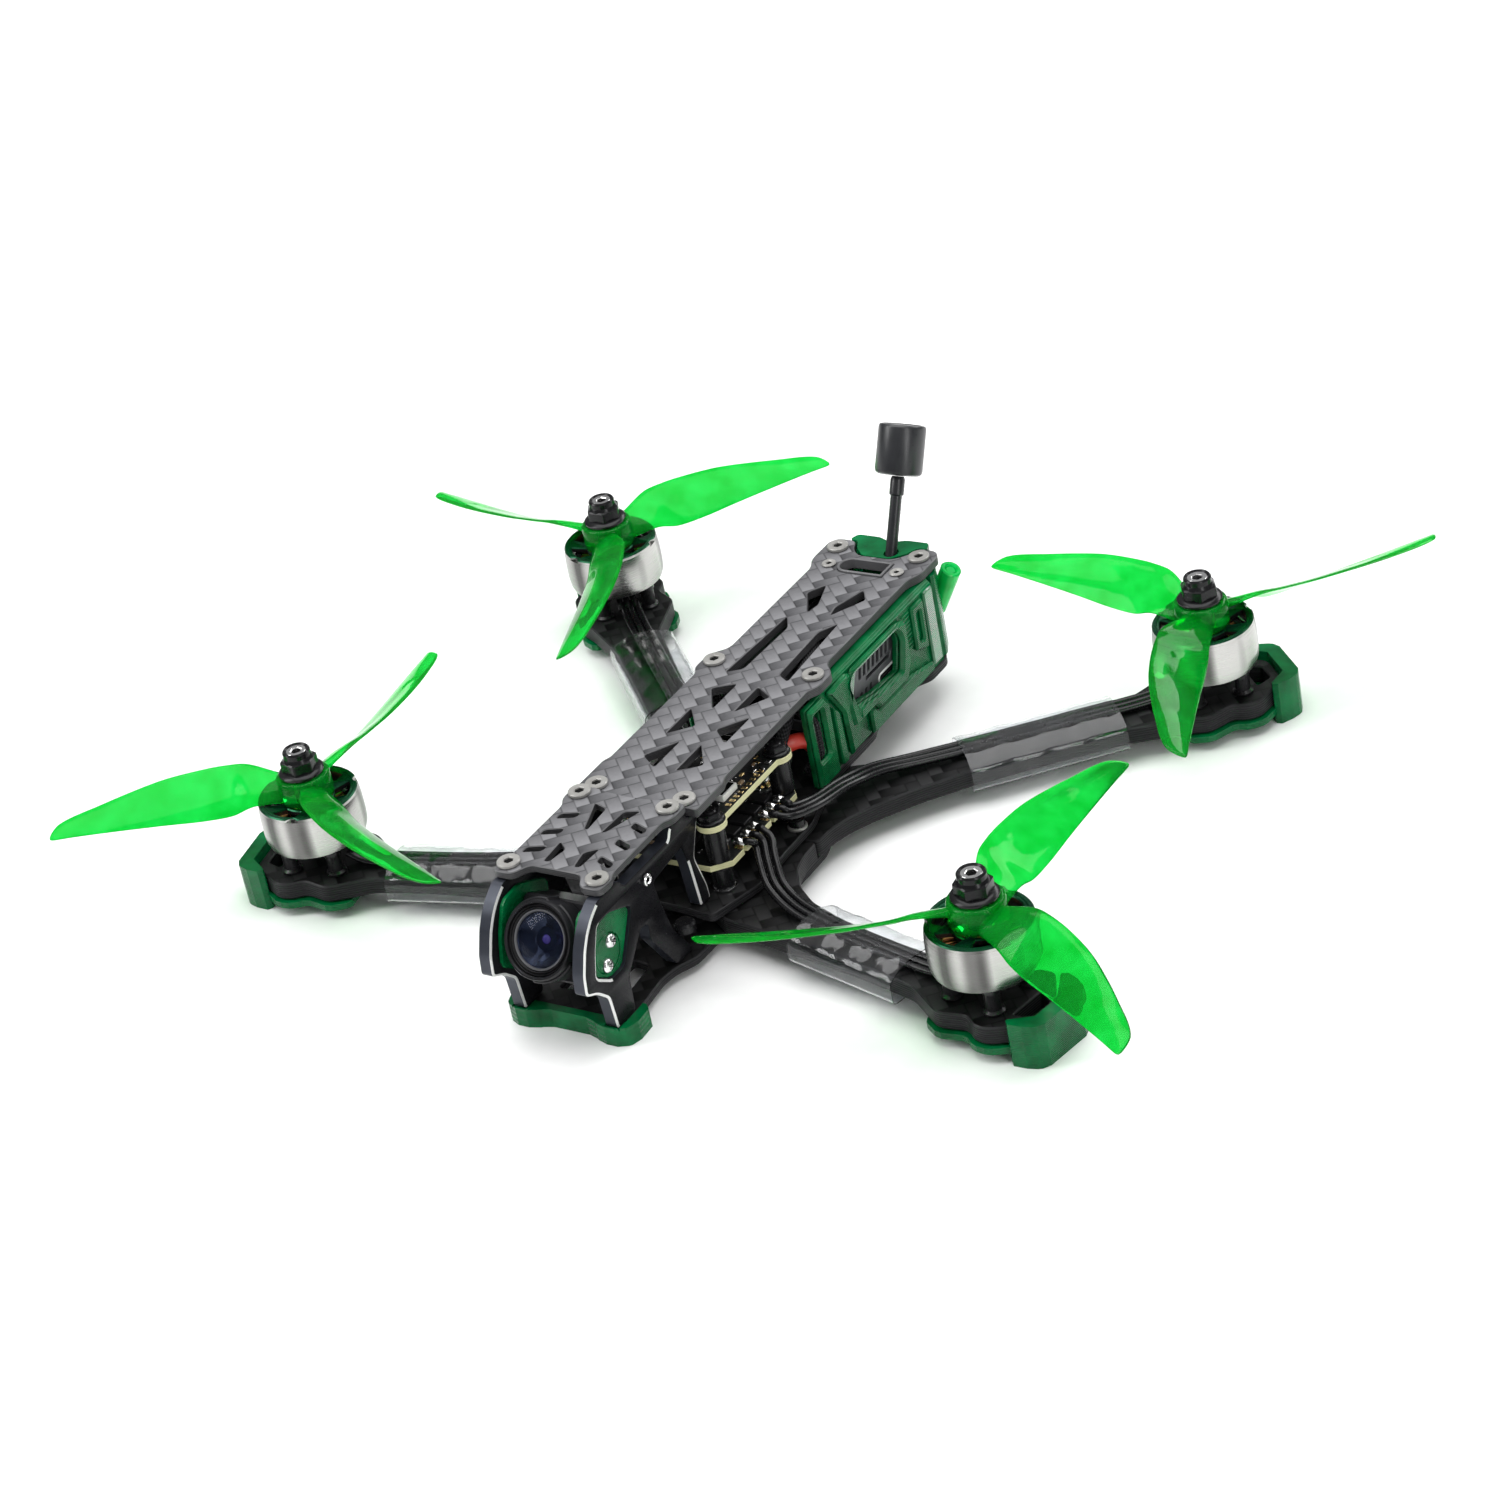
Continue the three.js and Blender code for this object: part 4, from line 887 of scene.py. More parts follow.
def make_sleeve(name, motor, side):
    start, end, half = motor["sleeve"]
    start, end = Vector((*start, 0)), Vector((*end, 0))
    forward = (end - start).normalized()
    across = Vector((-forward.y, forward.x, 0))
    steps = 26
    outline = pairs(
        -1, 2.2, 1, 2.2, 1.02, 4.5, 1.0, 7.6, 0.86, 8.6, 0.45, 9.9, 0, 10.2, -0.45, 9.9, -0.86, 8.6,
        -1.0, 7.6, -1.02, 4.5)
    outline = rounded([(a * half, z) for a, z in outline], 1.2, 2)
    shells = []
    for grow in (0.35, 0.12):
        rings = []
        for k in range(steps + 1):
            t = k / steps
            middle = start + (end - start) * t
            ripple = 0.12 * math.sin(t * 23 + 1.3) + 0.08 * math.sin(t * 51)
            loop = moved_out(outline, grow)
            rings.append([middle + across * (a * (1 + 0.012 * ripple)) + Vector((0, 0, z + (z > 6) * ripple))
                          for a, z in loop])
        shells.append(rings)
    rings = shells[0] + shells[1][::-1]
    film = Piece()
    film.loft([[Vector((side * v.x, v.y, v.z)) for v in ring] for ring in rings], "film", close=True)
    film.finish(f"clear_sleeve_{name}", replaces=[f"sleeve_{name}"], angle=60)


def dished(x, y, z):
    """The spokes of the bell rise towards its rim."""
    return x, y, z + 1.3 * max(0, (math.hypot(x, y) - 6.5) / 4.9)


def make_motor(name, motor, side):
    x, y = motor["centre"]
    base = Piece(at(side * x, y, 0, heading(motor, side)))
    base.turned(pairs(3, 11.5, 4.6, 11.5, 5.2, 12, 5.2, 15.6, 5.2, 22.4, 3, 22.4), "steel", 32)
    base.turned(pairs(4.6, 15.6, 8.2, 15.6, 8.2, 16.1, 4.6, 16.1), "steel", 32)
    for k in range(4):
        spot = turn(45 + 90 * k)
        leg = pairs(3.4, -2.6, 6, -1.9, 8.77, -2.1, 10.4, -1.4, 10.4, 1.4, 8.77, 2.1, 6, 1.9, 3.4, 2.6)
        base.slab(rounded(leg, 0.8), 11.8, 14.3, "steel", 0.3, place=spot)
        post = pairs(
            0, 7.65, 2.6, 7.65, 2.6, 8.1, 1.95, 8.6, 1.95, 12.6, 2.2, 13, 2.2, 14.1, 1.9, 14.3, 0, 14.3)
        base.turned(post, "steel", 20, place=spot @ at(MOTOR_BOLT, 0, 0))
    for k in range(12):
        spot = turn(30 * k + 8)
        base.slab(rounded(pairs(
            5.4, -1.1, 9.4, -2.0, 9.4, 2.0, 5.4, 1.1), 0.7), 16.3, 22.6, "copper", 0.8, place=spot)
        base.slab(pairs(9.3, -2.3, 10.6, -2.4, 10.6, 2.4, 9.3, 2.3), 16.8, 22.1, "steel", 0.15, place=spot)
    for k in (-1, 0, 1):
        lead = [(-10.5, k * 2, 10.6), (-8.6, k * 1.9, 12.6), (-6.6, k * 1.6, 14.4), (-5.6, k * 1.3, 16)]
        base.tube(smooth_path(lead, 5), 0.8, "wire", 10)
    base.finish(f"stator_and_legs_{name}", replaces=[f"motor_base_{name}"])

    bell = Piece(at(side * x, y, 0, 20 + 37 * len(name)))
    bell.turned(pairs(
        11.3, 14.9, 12.0, 14.9, 12.35, 15.15, 12.8, 16.4, 12.98, 18.5, 13, 20.5, 12.95, 23.2, 12.8, 25.0,
        12.62, 25.9, 11.3, 25.9), ["steel"] + ["silver"] * 7 + ["silver", "steel"], 72)
    notched = [polar(11.7 if k % 24 in (3, 4) else 12.6, 5 * k) for k in range(72)]
    bell.slab(notched, 25.4, 26.9, ("bell_green", "silver", "bell_green"), 0.3, [circle(0, 0, 11.2, 72)])
    windows = []
    for k in range(6):
        arc = [60 * k + a for a in (-19, -12, -6, 0, 6, 12, 19)]
        windows.append(
            rounded([polar(10.7, a) for a in arc] + [polar(6.5, a) for a in reversed(arc)], 0.5, 2))
    bell.slab(
        circle(0, 0, 11.4, 72), 23.9, 25.4, ("bell_green", "steel", "bell_green"), 0.25, windows, warp=dished)
    bell.turned(pairs(
        0, 12, 2.1, 12, 2.4, 12.3, 2.4, 25, 5.2, 25, 5.2, 25.5, 2.4, 25.5, 2.4, 36.4, 0, 36.4), "steel", 24)
    for k in range(14):
        bell.slab(pairs(10.75, -2, 11.35, -2.1, 11.35, 2.1, 10.75, 2), 15.6, 22.9, "bright", 0.1,
                  place=turn(360 * k / 14))
    bell.finish(f"motor_can_{name}", f"rotor_{name}", [f"motor_bell_{name}"])


# the propeller blade: radius, leading edge, trailing edge, pitch in degrees, height
STATIONS = [
    (5.6, 4.2, -3.2, 28, 31), (13.5, 8.2, -2.6, 30, 31), (19, 9.5, -2.3, 34, 29.9),
    (27, 10.3, -1.9, 32, 29.3), (36, 10.2, -1.3, 29, 29.2), (45, 9, -0.9, 25, 29.2),
    (53, 7.4, -0.6, 21, 29.2), (59, 6, -0.4, 18, 29.2), (62.6, 4.4, -0.3, 17, 29.2),
    (64.0, 2.6, -0.2, 16.5, 29.2), (64.8, 0.9, 0.1, 16, 29.2)]
SECTION = 14  # points on each face of the blade's section
ROOT, TIP = STATIONS[0][0], STATIONS[-1][0]


def station(radius):
    """Leading edge, trailing edge, pitch and height of the blade at a radius, between the stations."""
    k = next(i for i in range(len(STATIONS) - 1) if radius <= STATIONS[i + 1][0] + 1e-6)
    rows = [STATIONS[max(k - 1, 0)], STATIONS[k], STATIONS[k + 1], STATIONS[min(k + 2, len(STATIONS) - 1)]]
    span = rows[2][0] - rows[1][0]
    t = (radius - rows[1][0]) / span
    values = []
    for i in range(1, 5):
        before = max(rows[2][0] - rows[0][0], 1e-6)
        after = max(rows[3][0] - rows[1][0], 1e-6)
        slope_in = (rows[2][i] - rows[0][i]) / before * span
        slope_out = (rows[3][i] - rows[1][i]) / after * span
        values.append((2 * t ** 3 - 3 * t ** 2 + 1) * rows[1][i] + (t ** 3 - 2 * t ** 2 + t) * slope_in
                      + (3 * t ** 2 - 2 * t ** 3) * rows[2][i] + (t ** 3 - t ** 2) * slope_out)
    return values


def blade_ring(radius, spin):
    """Section of a cambered blade with an oval hollow in its upper face."""
    lead, trail, pitch, height = station(radius)
    slope = math.tan(math.radians(pitch))
    chord = lead - trail
    root = max(0, 1 - (radius - ROOT) / 10)
    thick = (1.25 * (1 - 0.5 * radius / TIP) + 1.6 * root ** 2) * min(1, chord / 2.4)
    points = []
    for k in range(2 * SECTION):
        top = k < SECTION
        s = 0.5 - 0.5 * math.cos(math.pi * (k if top else 2 * SECTION - k) / SECTION)
        across = lead - s * chord
        shape = math.sqrt(max(s * (1 - s), 0)) * 2
        half = thick / 2 * min(1, shape * 1.15)
        z = height + (across - 4) * slope + 0.06 * chord * shape ** 2
        if top:
            oval = ((radius - 34) / 15) ** 2 + ((s - 0.42) / 0.2) ** 2
            z -= 0.22 * max(0, min(1, (1 - oval) * 4))
        points.append((radius, spin * across, z + (half if top else -half)))
    return points


def make_propeller(name, motor, side, spin, phase):
    x, y = motor["centre"]
    propeller = Piece(at(side * x, y, 0, phase))
    radii = [ROOT + (62.6 - ROOT) * k / 58 for k in range(59)] + [63.2, 63.7, 64.1, 64.4, 64.62, 64.75]
    for k in range(3):
        propeller.loft([blade_ring(r, spin) for r in radii], "blade", place=turn(120 * k))
    propeller.turned(pairs(
        2.7, 25.75, 6.2, 25.75, 6.7, 26.2, 6.8, 27, 6.8, 31.9, 6.5, 32.5, 6.0, 32.7, 5.2, 32.7, 4.8, 32.3,
        2.7, 32.3), "blade", 48)
    propeller.finish(
        f"three_blade_propeller_{name}", f"rotor_{name}", [f"propeller_{name}"], angle=50)

    nut = Piece(at(side * x, y, 0, phase + 12))
    nut.turned(pairs(2.6, 33, 5.5, 33, 5.7, 33.2, 5.7, 33.6, 5.3, 34, 4.4, 34.3, 2.6, 34.3), "nut", 40)
    nut.slab(rounded(circle(0, 0, 4.75, 6), 0.35, 2), 34, 37.2, "nut", 0.35, [circle(0, 0, 2.55, 24)])
    nut.turned(pairs(
        2.5, 37, 4.0, 37, 3.7, 37.6, 3.5, 37.9, 3.5, 39.1, 3.2, 39.5, 2.9, 39.5, 2.5, 39.1), "nut", 40)
    nut.slab(circle(0, 0, 2.6, 32), 36.6, 39.2, "bright", 0.2, [circle(0, 0, 1.35, 6)])
    # near-black painted shadow inside the nut's hexagon socket
    nut.slab(circle(0, 0, 1.5, 6), 36.6, 37.6, "hollow", 0)
    nut.finish(f"flange_nut_{name}", f"rotor_{name}", [f"prop_nut_{name}"])


# ---- camera cage ----

CAGE_INNER, CAGE_OUTER = 11.3, 14.8
CAGE_PROFILE = pairs(
    -96.8, 36.3, -100.4, 34, -102.8, 31.6, -105, 28.2, -107.3, 22.5, -107.9, 17.5, -104, 15.5, -100.4, 12,
    -99.6, 2.65, -91.8, 2.65, -91.3, 12, -87.5, 15.8, -83.5, 20, -80.5, 19.5, -80.8, 15, -73, 2.65, -66, 2.65,
    -72, 12, -74.5, 22, -75.5, 27.5, -62.5, 29, -61.2, 23, -59.9, 10.3, -55.6, 10.3, -56, 14.5, -58.6, 23.5,
    -54.6, 31.8, -52.2, 31.8, -52.2, 33.8, -58.1, 33.8, -58.1, 36.3, -65.5, 36.3, -67, 33.5, -86, 33.5,
    -88, 36.3)
CAGE_WINDOW = pairs(
    -98.5, 31, -93.5, 31.2, -85.2, 27.7, -85.8, 25.5, -92, 15.3, -97.5, 15.3, -103, 19.2, -101, 25.5)


def cage_edge(point, out):
    """A painted highlight on the nose's edge, the front edge of the window, and both edges of the rear strut;
    the other bevels stay anodised.
    """
    y, z = point
    nose = y < -93 and out.x < -0.35
    window = y < -97 and z < 32 and out.x > 0.35
    tab = -68 < y < -65 and out.x < -0.35
    strut = -62 < y < -54 and z < 31 and abs(out.x) > 0.5 and not (out.x < 0 and z > 25)
    return "chamfer" if nose or window or tab or strut else "anodised"


def make_cage(label, side):
    place = mirror(side) @ ALONG_X
    cage = Piece()
    cage.slab(rounded(CAGE_PROFILE, 1.1), CAGE_INNER, CAGE_OUTER, ("anodised", "slate", cage_edge), 0.6,
              [rounded(CAGE_WINDOW, 1.4)], place=place, depth=0.28)
    for x, y, top in ((12.4, -54.8, TOP_HIGH), (12.4, -61.6, FRONT_HIGH), (12.3, -92, FRONT_HIGH)):
        cage.screw(side * x, y, top)
    cage.screw(-78.2, 30.3, CAGE_OUTER, 1.5, 1.0, "bright", 0.7, place=place)
    cage.turned(pairs(0, 10, 2.6, 10, 2.6, 11.6, 2.1, 12.2, 0, 12.2), "nut", 24, at(side * 15.6, -68.6, 0))
    cage.finish(f"cage_plate_{label}", replaces=[f"cage_side_{label}"])
    keep(f"camera_cradle_{label}", "print", 0.35)


def make_camera():
    tilt = at(0, -96, 21.5, -30, "X")
    lens_axis = at(0, -2.4, 1.2, 90, "X")
    body = Piece(tilt)
    case = rounded(box_outline(-9.5, -8.3, 9.5, 10.7), 2.2, 6)
    body.slab(case, -2.5, 7.6, "moulded", 0.5, place=ALONG_Y)
    body.slab(rounded(box_outline(-8.6, -7.4, 8.6, 9.8), 2, 6), 7.6, 9, "plastic", 0.4, place=ALONG_Y)
    notched = [polar(9.35 if (k + 6) % 24 < 5 else 10.0, 3.75 * k) for k in range(96)]
    body.slab(notched, 0, 5.2, "moulded", 0.3, [circle(0, 0, 8.5, 72)], place=lens_axis)
    body.turned(pairs(8.5, 0, 9.4, 0, 9.4, 5.9, 9.1, 6.4, 8.7, 6.4, 8.5, 6.1), "moulded", 72, lens_axis)
    body.turned(pairs(
        7.2, 0, 8.5, 0, 8.5, 5.4, 8.1, 5.7, 7.8, 5.2, 7.5, 5.6, 7.2, 5.2), "plastic", 72, lens_axis)
    for side in (1, -1):
        axle = mirror(side) @ turn(90, "Y")
        body.turned(pairs(0, 9, 4.9, 9, 4.9, 13.5, 4.6, 13.8, 0, 13.8), "print", 48, axle)
        for z in (2.9, -2.9):
            spot = axle @ at(-z, 0, 0)
            body.turned(pairs(0, 13.6, 1.8, 13.6, 1.8, 14.1, 1.65, 14.5, 1.3, 14.85, 0.8, 15.05, 0, 15.1),
                        "bright", 28, spot)
            # near-black painted shadow in the cross slots of the screw heads
            body.block((-0.8, -0.11, 14.6), (0.8, 0.11, 15.13), "hollow", 0.03, spot)
            body.block((-0.11, -0.8, 14.6), (0.11, 0.8, 15.13), "hollow", 0.03, spot)
    body.finish("camera_case", "camera", ["camera_body"])

    lens = Piece(tilt)
    lens.turned(pairs(6.5, 1.8, 7.2, 1.8, 7.2, 5.0, 7.0, 5.4, 6.75, 5.4, 6.5, 5.1), "video", 72, lens_axis)
    lens.turned(pairs(
        0, 1.8, 6.5, 1.8, 6.5, 4.6, 6.2, 4.2, 5.6, 4.0, 5.2, 3.6, 4.4, 3.4, 4.0, 3.0, 3.0, 2.8, 2.8, 2.5,
        0, 2.5), "iris", 72, lens_axis)
    lens.turned(pairs(0, 2.5, 1.1, 2.5, 0.9, 2.9, 0.5, 3.1, 0, 3.15), "violet", 48, lens_axis)
    lens.turned(pairs(
        0, 5.9, 2.6, 5.75, 5, 5.25, 6.45, 4.7, 6.45, 5.0, 5.6, 5.5, 4.2, 5.95, 2.4, 6.25, 0, 6.4), "glass",
        72, lens_axis)
    lens.finish("camera_lens_group", "camera", ["camera_lens"], angle=50)


# ---- electronics ----


def parts_on(board, height, down, boxes, count, seed, clear_of=()):
    """Chips and small parts on one face of a board."""
    generator = random.Random(seed)
    sign = -1 if down else 1
    taken = list(boxes) + list(clear_of)

    def part(x0, y0, x1, y1, tall, look, bevel):
        low, high = sorted((height, height + sign * tall))
        board.block((x0, y0, low), (x1, y1, high), look, bevel)

    for box in boxes:
        part(*box, 1.0, "chip", 0.12)
    tries = 0
    while count and tries < 4000:
        tries += 1
        w, d = generator.choice(pairs(1.0, 0.5, 0.5, 1.0, 1.6, 0.8, 0.8, 1.6, 2.0, 1.3, 1.3, 1.3))
        x, y = generator.uniform(-15.5, 15.5), generator.uniform(-15.5, 15.5)
        close = any(x < b[2] + 0.5 and x + w > b[0] - 0.5 and y < b[3] + 0.5 and y + d > b[1] - 0.5
                    for b in taken)
        if close or math.hypot(abs(x) - STACK_BOLT, abs(y) - STACK_BOLT) < 5:
            continue
        taken.append((x, y, x + w, y + d))
        look = generator.choice(["ceramic", "chip", "chip", "gold", "solder"])
        part(x, y, x + w, y + d, 0.12 if look == "gold" else generator.uniform(0.35, 0.8), look, 0.05)
        if look in ("ceramic", "chip"):
            ends = ((x - 0.25, y, x, y + d), (x + w, y, x + w + 0.25, y + d)) if w > d else (
                (x, y - 0.25, x + w, y), (x, y + d, x + w, y + d + 0.25))
            for end in ends:
                part(*end, 0.3, "solder", 0.04)
        count -= 1


def legend_marks(board, height, seed, count):
    """Plain printed strokes, as beside connectors; they are not letters."""
    generator = random.Random(seed)
    for _ in range(count):
        x, y = generator.uniform(-15, 13), generator.uniform(-16, 15)
        w, d = generator.choice(pairs(1.4, 0.16, 0.16, 1.2, 0.7, 0.16, 0.16, 0.6))
        if math.hypot(abs(x) - STACK_BOLT, abs(y) - STACK_BOLT) > 4.5:
            board.block((x, y, height), (x + w, y + d, height + 0.05), "legend", 0.01)


def make_stack():
    place = at(0, STACK_Y, 0)
    lower = Piece(place)
    outline = pairs(-19, -15, -15, -19, 15, -19, 19, -15, 19, 15, 15, 19, -15, 19, -19, 15)
    notches = []
    for x, y in outline:
        notches.append((x, y))
        if (x, y) in ((19, -15), (-19, 15)):
            step = 1 if x > 0 else -1
            for centre in (-9.2, -5, -1.5, 3.5, 7, 10.5):
                middle = centre * step
                notches += pairs(x, middle - 0.7 * step, x - 0.9 * step, middle - 0.55 * step,
                                 x - 0.9 * step, middle + 0.55 * step, x, middle + 0.7 * step)
    low, high = 16.2, 17.8
    lower.slab(notches, low, high, ("board", "board_edge", "board_edge"), 0.08)
    mosfets = [(s * 12 - 2.4, y, s * 12 + 2.4, y + 3.6) for s in (1, -1) for y in (-11.5, -6.6, -1.8, 3, 7.8)]
    centre_chips = [(-6, -12, -1, -7), (1.5, -12, 6.5, -7), (-6, 1, -1, 6), (1.5, 1, 6.5, 6)]
    parts_on(lower, high, False, mosfets + centre_chips, 60, 3)
    parts_on(lower, low, True, mosfets, 30, 4)
    legend_marks(lower, high, 5, 26)
    for side in (1, -1):
        for y in (-9.2, -5.5, -1.8, 3.4, 7, 10.6):
            lower.block(
                (side * 17.4 - 1.1, y - 1.2, high), (side * 17.4 + 1.1, y + 1.2, high + 0.12), "gold", 0.04)
        lower.block((side * 8.5 - 2.6, 15.2, high), (side * 8.5 + 2.6, 18.6, high + 0.15), "gold", 0.05)
        lower.tube([Vector((side * 8.5, 14.9 + d, high + 0.2 + h)) for d, h in (
            (0, 0), (0.7, 0.7), (2.2, 1.0), (3.6, 0.5), (4.2, 0))], [0.6, 1.7, 2.0, 1.6, 0.6], "solder", 16)
    for x, y in STACK_CORNERS:
        spot = at(x, y, 0)
        lower.turned(pairs(0, 10.3, 3.4, 10.3, 3.4, 10.7, 3.0, 10.8, 0, 10.8), "bright", 32, spot)
        lower.turned(pairs(0, 10.7, 2.9, 10.7, 2.9, 15.9, 2.6, 16.2, 0, 16.2), "nut", 32, spot)
        lower.turned(pairs(0, 17.8, 2.6, 17.8, 2.9, 18.1, 2.9, 26.6, 2.6, 26.9, 0, 26.9), "nut", 32, spot)
        lower.turned(pairs(0, 29.1, 3.3, 29.1, 3.3, 29.5, 2.7, 29.8, 0, 29.8), "nut", 32, spot)
        lower.slab(rounded(circle(0, 0, 3.0, 6), 0.3, 2), 29.6, 31.2, "nut", 0.3, place=spot)
        lower.turned(pairs(0, 31, 1.7, 31, 1.7, 31.3, 1.4, 31.6, 0, 31.6), "nut", 20, spot)
    lower.finish("lower_board_and_spacers", replaces=["speed_controller"])

    upper = Piece(place)
    lobe = [polar(3.75, a, STACK_BOLT, STACK_BOLT) for a in range(-55, 146, 20)]
    outline = lobe + [(-x, y) for x, y in reversed(lobe)] + [(-x, -y) for x, y in lobe] + [
        (x, -y) for x, y in reversed(lobe)]
    low, high = 27.2, 28.8
    upper.slab(outline, low, high, ("board", "board_edge", "board_edge"), 0.08,
               [circle(x, y, 1.8, 20) for x, y in STACK_CORNERS])
    plugs = [(-4.5, 13.6, 4.5, 16.6), (-14.5, -4, -11.5, 4), (11.8, -8, 14.6, -1.5)]
    chips = [(-3.8, -3.8, 3.8, 3.8), (6, 5, 10, 9), (-10, -12, -6, -8), (5, -12.5, 8.5, -9)]
    parts_on(upper, high, False, chips, 80, 11, plugs)
    parts_on(upper, low, True, [(-5, -5, 5, 5), (7, -9, 11, -5)], 36, 12)
    legend_marks(upper, high, 13, 44)
    for k in range(9):
        upper.block((15.3, -9 + k * 1.9, high), (16.7, -8 + k * 1.9, high + 0.12), "gold", 0.04)
    for x0, y0, x1, y1 in plugs:
        upper.block((x0, y0, high), (x1, y1, high + 1.8), "legend", 0.2)
        # near-black painted shadow inside each plug's opening
        upper.block((x0 + 0.5, y0 + 0.5, high + 1.4), (x1 - 0.5, y1 - 0.5, high + 1.9), "hollow", 0.1)
    upper.finish("upper_board", replaces=["flight_controller"])


def make_power():
    cell = Piece()
    spot = at(0, -8, 19, 90, "Y")
    cell.turned(pairs(
        0, -9, 3.7, -9, 4.2, -8.6, 4.3, -8, 4.0, -7.2, 4.4, -6.4, 4.4, 8.4, 4.1, 8.9, 3.6, 9, 3.4, 8.7,
        0, 8.7), ["plastic"] * 9 + ["bright", "bright"], 40, spot)
    cell.finish("capacitor_can", replaces=["capacitor"])
    route = [(8.5, -15.2, 18.4), (10.4, -13.2, 20.6), (11.2, -11.2, 25.6), (10.4, -5, 29.8), (7, 6, 32),
             (3.4, 24, 32), (2.6, 48.6, 32)]
    for label, side, look in (("red", 1, "red"), ("black", -1, "wire")):
        lead = Piece()
        path = smooth_path(sided(route, side), 9)
        lead.tube(path[:10], 1.45, look, 16)
        lead.tube(path[9:], 1.55, "braid", 16)
        lead.finish(f"battery_lead_{label}", replaces=[f"power_lead_{label}"])
    shrink = Piece()
    for side, look in ((1, "red"), (-1, "wire")):
        bend = [(9.4, -13.4, 21.6), (10.6, -11.2, 23.6), (12.6, -8.6, 24.2), (14.3, -6, 23.4),
                (15.2, -4.4, 21.2)]
        shrink.tube(smooth_path(sided(bend, side), 6), 2.0, look, 16)
        middle = smooth_path([(12.6, -4, 13), (13.4, -3.8, 14.4), (15.8, -3.75, 18), (16.1, -3.75, 22.6),
                              (15.8, -3.75, 27.4), (13.4, -3.8, 30.4), (12.4, -4, 31.6)], 14)
        rings = []
        for i, point in enumerate(middle):
            ring = []
            for k in range(48):
                strand = math.pi / 4 * k
                radius = 1.6 + 0.2 * math.sin(strand + i * 0.75) * math.sin(strand - i * 0.75)
                x, y = polar(radius, 7.5 * k, point.x, point.y)
                ring.append((side * x, y, point.z))
            rings.append(ring)
        shrink.loft(rings, "braid")
    shrink.finish("shrink_and_braided_sleeves")


def make_video_unit():
    unit = Piece()
    # near-black inner box: painted shadow for the inside of the case, seen through the vents
    unit.slab(rounded(box_outline(-14.2, 10.4, 14.2, 49.6), 1.5), 14, 29, "hollow", 0.4)
    unit.slab(rounded(box_outline(-15, 10, 15, 50), 2, 4), 14, 17.4, "video", 0.4)
    unit.slab(rounded(box_outline(-15, 10, 15, 50), 2, 4), 27.9, 29.4, "video", 0.3)
    for k in range(9):
        unit.block((-12.6 + 3.0 * k, 13, 29.3), (-11.4 + 3.0 * k, 47, 29.8), "video", 0.15)
    vents = [rounded(pairs(y, 24.7, y + 1.35, 24.7, y + 2.2, 27.6, y + 0.85, 27.6), 0.4, 2)
             for y in (20.4 + 2.25 * k for k in range(8))]
    vents += [rounded(pairs(y, 18.2, y + 1.2, 18.2, y + 2.0, 21.2, y + 0.8, 21.2), 0.4, 2)
              for y in (14.6 + 2.4 * k for k in range(5))]
    port = rounded(pairs(28.7, 17.9, 38.2, 17.9, 38.2, 21.1, 29.2, 21.1), 1.1, 4)
    groove = pairs(23.6, 22.9, 35.8, 22.9, 36.6, 23.9, 24.2, 23.9)
    for side in (1, -1):
        place = mirror(side) @ ALONG_X
        unit.slab(
            box_outline(10.2, 17.2, 49.8, 28.1), 14.1, 15, "video", 0.12, [*vents, groove, port], place=place)
        unit.slab(moved_out(anticlockwise(port), 0.15), 13.6, 15.3, "chamfer", 0.12,
                  [moved_out(anticlockwise(port), -0.4)], place=place)
        unit.slab(rounded(box_outline(30.2, 19.2, 36.8, 19.9), 0.3, 2), 13.4, 15, "plastic", 0.1, place=place)
    unit.finish("video_unit_case", replaces=["video_unit"])


# ---- rear housing, posts and antenna ----

PANEL_WINDOW = pairs(13.6, 22.2, 11.8, 29.6, 13.6, 31, 35, 31, 36.7, 29.6, 37.6, 27, 35.2, 19.4, 23.4, 20.3)
MESH_SLOT = pairs(-6.2, 17.5, -1.7, 17.5, -1.7, 30.6, -6.2, 30.6)
# raised parts of the side panel: outline in Y and Z, height in X, bevel, openings
PANEL_RELIEF = [
    (pairs(10.6, 17.5, 21.6, 17.5, 23, 15.6, 37.5, 15.6, 40.2, 20, 40.6, 31.3, 36, 32.6, 13.5, 32.6,
           9.6, 24.5), 18.8, 0.95, [PANEL_WINDOW]),
    (pairs(8.0, 10.8, 7.4, 23.8, 1.8, 32.6, 10.5, 33, 13.2, 31.8, 10.3, 23.3, 11.6, 12.5), 18.4, 0.75, []),
    (pairs(13.4, 18.4, 22.4, 18.4, 23.2, 20.0, 13.8, 21.4), 19.1, 0.3, []),
    (pairs(44.5, 19.6, 50.4, 17.6, 50.8, 31.8, 44.8, 31.8), 18.0, 0.5,
     [pairs(46.5, 21.4, 48.7, 20.7, 48.9, 29.6, 46.7, 29.6)]),
    (pairs(51.4, 10.5, 56.8, 10.5, 56.8, 32.8, 51.4, 32.8), 17.6, 0.9, []),
    (pairs(19, 10.5, 51, 10.5, 51, 13, 41, 15.2, 38, 15.3, 22.7, 15.3, 21.3, 17.1, 19, 17.1), 18.2, 0.55, []),
    (pairs(3.0, 11.2, 6.0, 11.2, 5.4, 25.4, 3.2, 28), 18.3, 0.3, []),
    (pairs(-7.6, 10.5, 1.6, 10.5, 1.9, 30.2, 0, 32.8, -7.6, 32.8), 18.5, 0.8, [MESH_SLOT]),
]


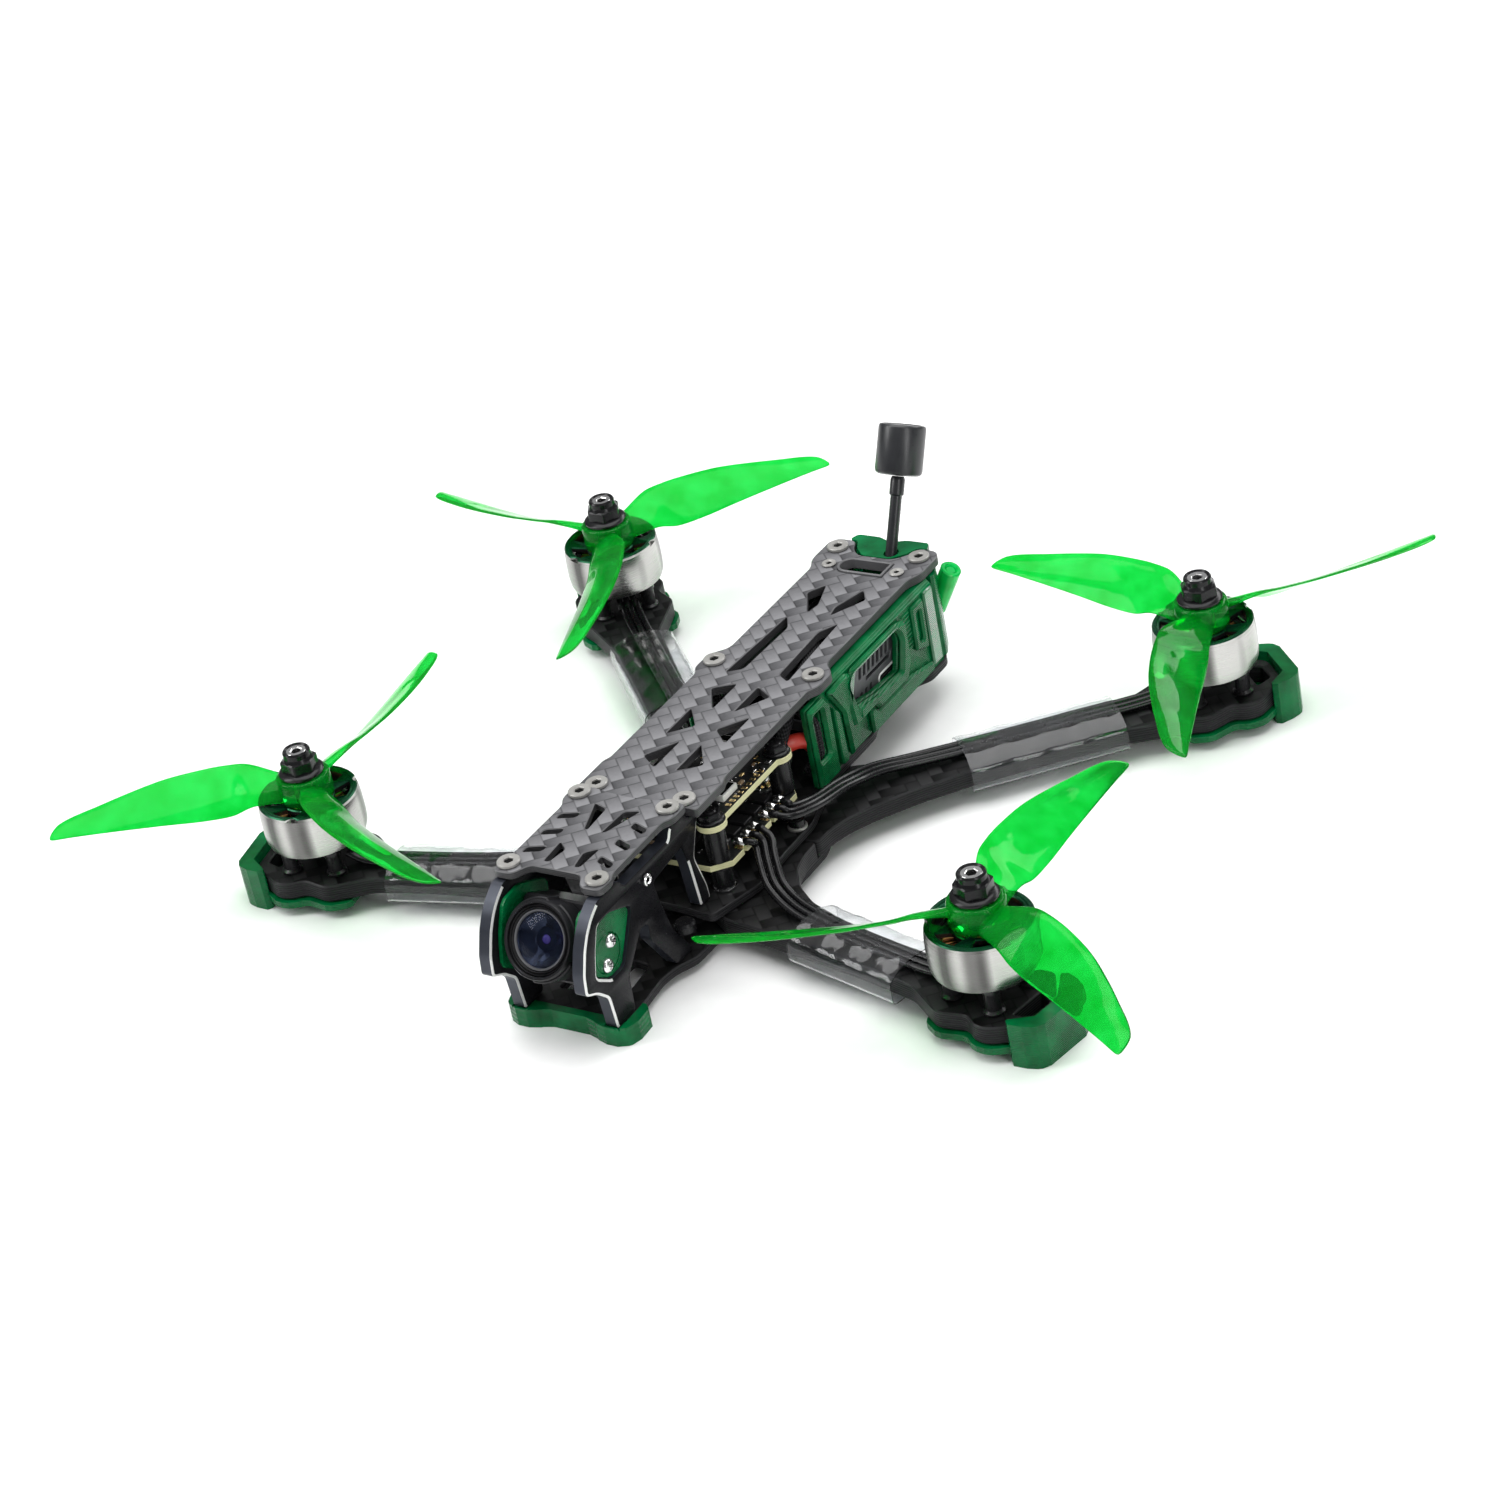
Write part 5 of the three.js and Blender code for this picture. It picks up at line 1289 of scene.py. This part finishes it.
def make_panel(label, side):
    """The printed wall of the rear bay: a base wall with raised frames, ribs and a column."""
    place = mirror(side) @ ALONG_X
    panel = Piece()
    wall = box_outline(-7.4, 10.3, 57, 33)
    panel.slab(rounded(wall, 0.8), 15.3, 16.9, "print", 0.3,
               [rounded(PANEL_WINDOW, 1), rounded(MESH_SLOT, 1.4)], place=place)
    for outline, height, bevel, openings in PANEL_RELIEF:
        panel.slab(rounded(outline, 0.9, 3), 16.6, height, "print", bevel,
                   [rounded(o, 1.0) for o in openings], place=place)
    for k in range(9):
        z = 21.4 + 1.2 * k
        panel.slab(box_outline(40.8, z, 44.4, z + 0.5), 16.8, 17.25, "print", 0.12, place=place)
    rail = pairs(13, 31.6, 16.8, 31.6, 16.8, 32.7, 15.7, 33.8, 13, 33.8)
    panel.slab(sided(rail, side), 5.6, 57, "print", 0.25, place=ALONG_Y)
    panel.finish(f"printed_side_panel_{label}", replaces=[f"side_panel_{label}"])


def make_housing():
    for label, side in (("left", -1), ("right", 1)):
        make_panel(label, side)
        for node, (x, y), radius in (("rear_post", REAR_POST, 2.6), ("ear_post", EAR_POST, 2.2)):
            post = Piece()
            post.turned(pairs(
                0, FLOOR, radius - 0.3, FLOOR, radius, FLOOR + 0.4, radius, TOP_LOW - 0.7,
                radius - 0.3, TOP_LOW - 0.3, 1.4, TOP_LOW - 0.3, 1.4, TOP_HIGH + 0.06, 0, TOP_HIGH + 0.06),
                "silver", 28, at(side * x, y, 0))
            post.screw(side * x, y, TOP_HIGH)
            post.finish(f"{node}_and_screw_{label}", replaces=[f"{node}_{label}"])
    keep("rear_cap", "print", 0.6)
    keep("front_bumper", "print_layers", 0.7)

    tube = Piece(at(11, 66.7, 19, 28, "Y"))
    tube.turned(pairs(1.6, 0, 2.45, 0, 2.75, 0.3, 2.75, 13.7, 2.45, 14, 1.8, 14, 1.6, 13.7), "tube", 40)
    tube.turned(pairs(0, 0.5, 1.4, 0.5, 1.4, 13.2, 1.1, 13.5, 0, 13.5), "tube", 24)
    tube.finish("receiver_antenna_tube", replaces=["receiver_tube"])

    lean = at(3, 62.6, TOP_HIGH, -28, "X")
    stem = Piece(lean)
    stem.turned(pairs(
        0, -7, 1.4, -7, 1.5, -6.6, 1.5, 14.4, 1.9, 14.8, 1.9, 18.6, 1.6, 19.4, 0, 19.4), "antenna", 32)
    stem.finish("antenna_mast", replaces=["antenna_stem"])
    head = Piece(lean)
    head.turned(pairs(
        0, 19.7, 2.2, 19.7, 5.2, 19.8, 5.9, 20.2, 6.15, 20.9, 6.15, 31.9, 6.05, 32.3, 5.75, 32.6, 5.2, 32.7,
        4.9, 32.5, 0, 32.5), "antenna", 64)
    head.finish("antenna_cap", replaces=["antenna_head"])


def make_floor():
    """A pale slab under the craft's lowest point."""
    ground = cad_box[0].z / MM
    floor = Piece()
    floor.slab(rounded(box_outline(-4000, -4000, 4000, 4000), 100), ground - 5, ground, "floor", 0)
    floor.shown("studio_floor")


photo_camera()
studio()
make_floor()
carbon_plates()
make_camera()
make_stack()
make_power()
make_video_unit()
make_housing()
for label, side in (("left", -1), ("right", 1)):
    make_cage(label, side)
for name, motor, side, spin, phase in CORNERS:
    make_arm(name, motor, side)
    make_wires(name, motor, side)
    make_sleeve(name, motor, side)
    make_motor(name, motor, side)
    make_propeller(name, motor, side, spin, phase)
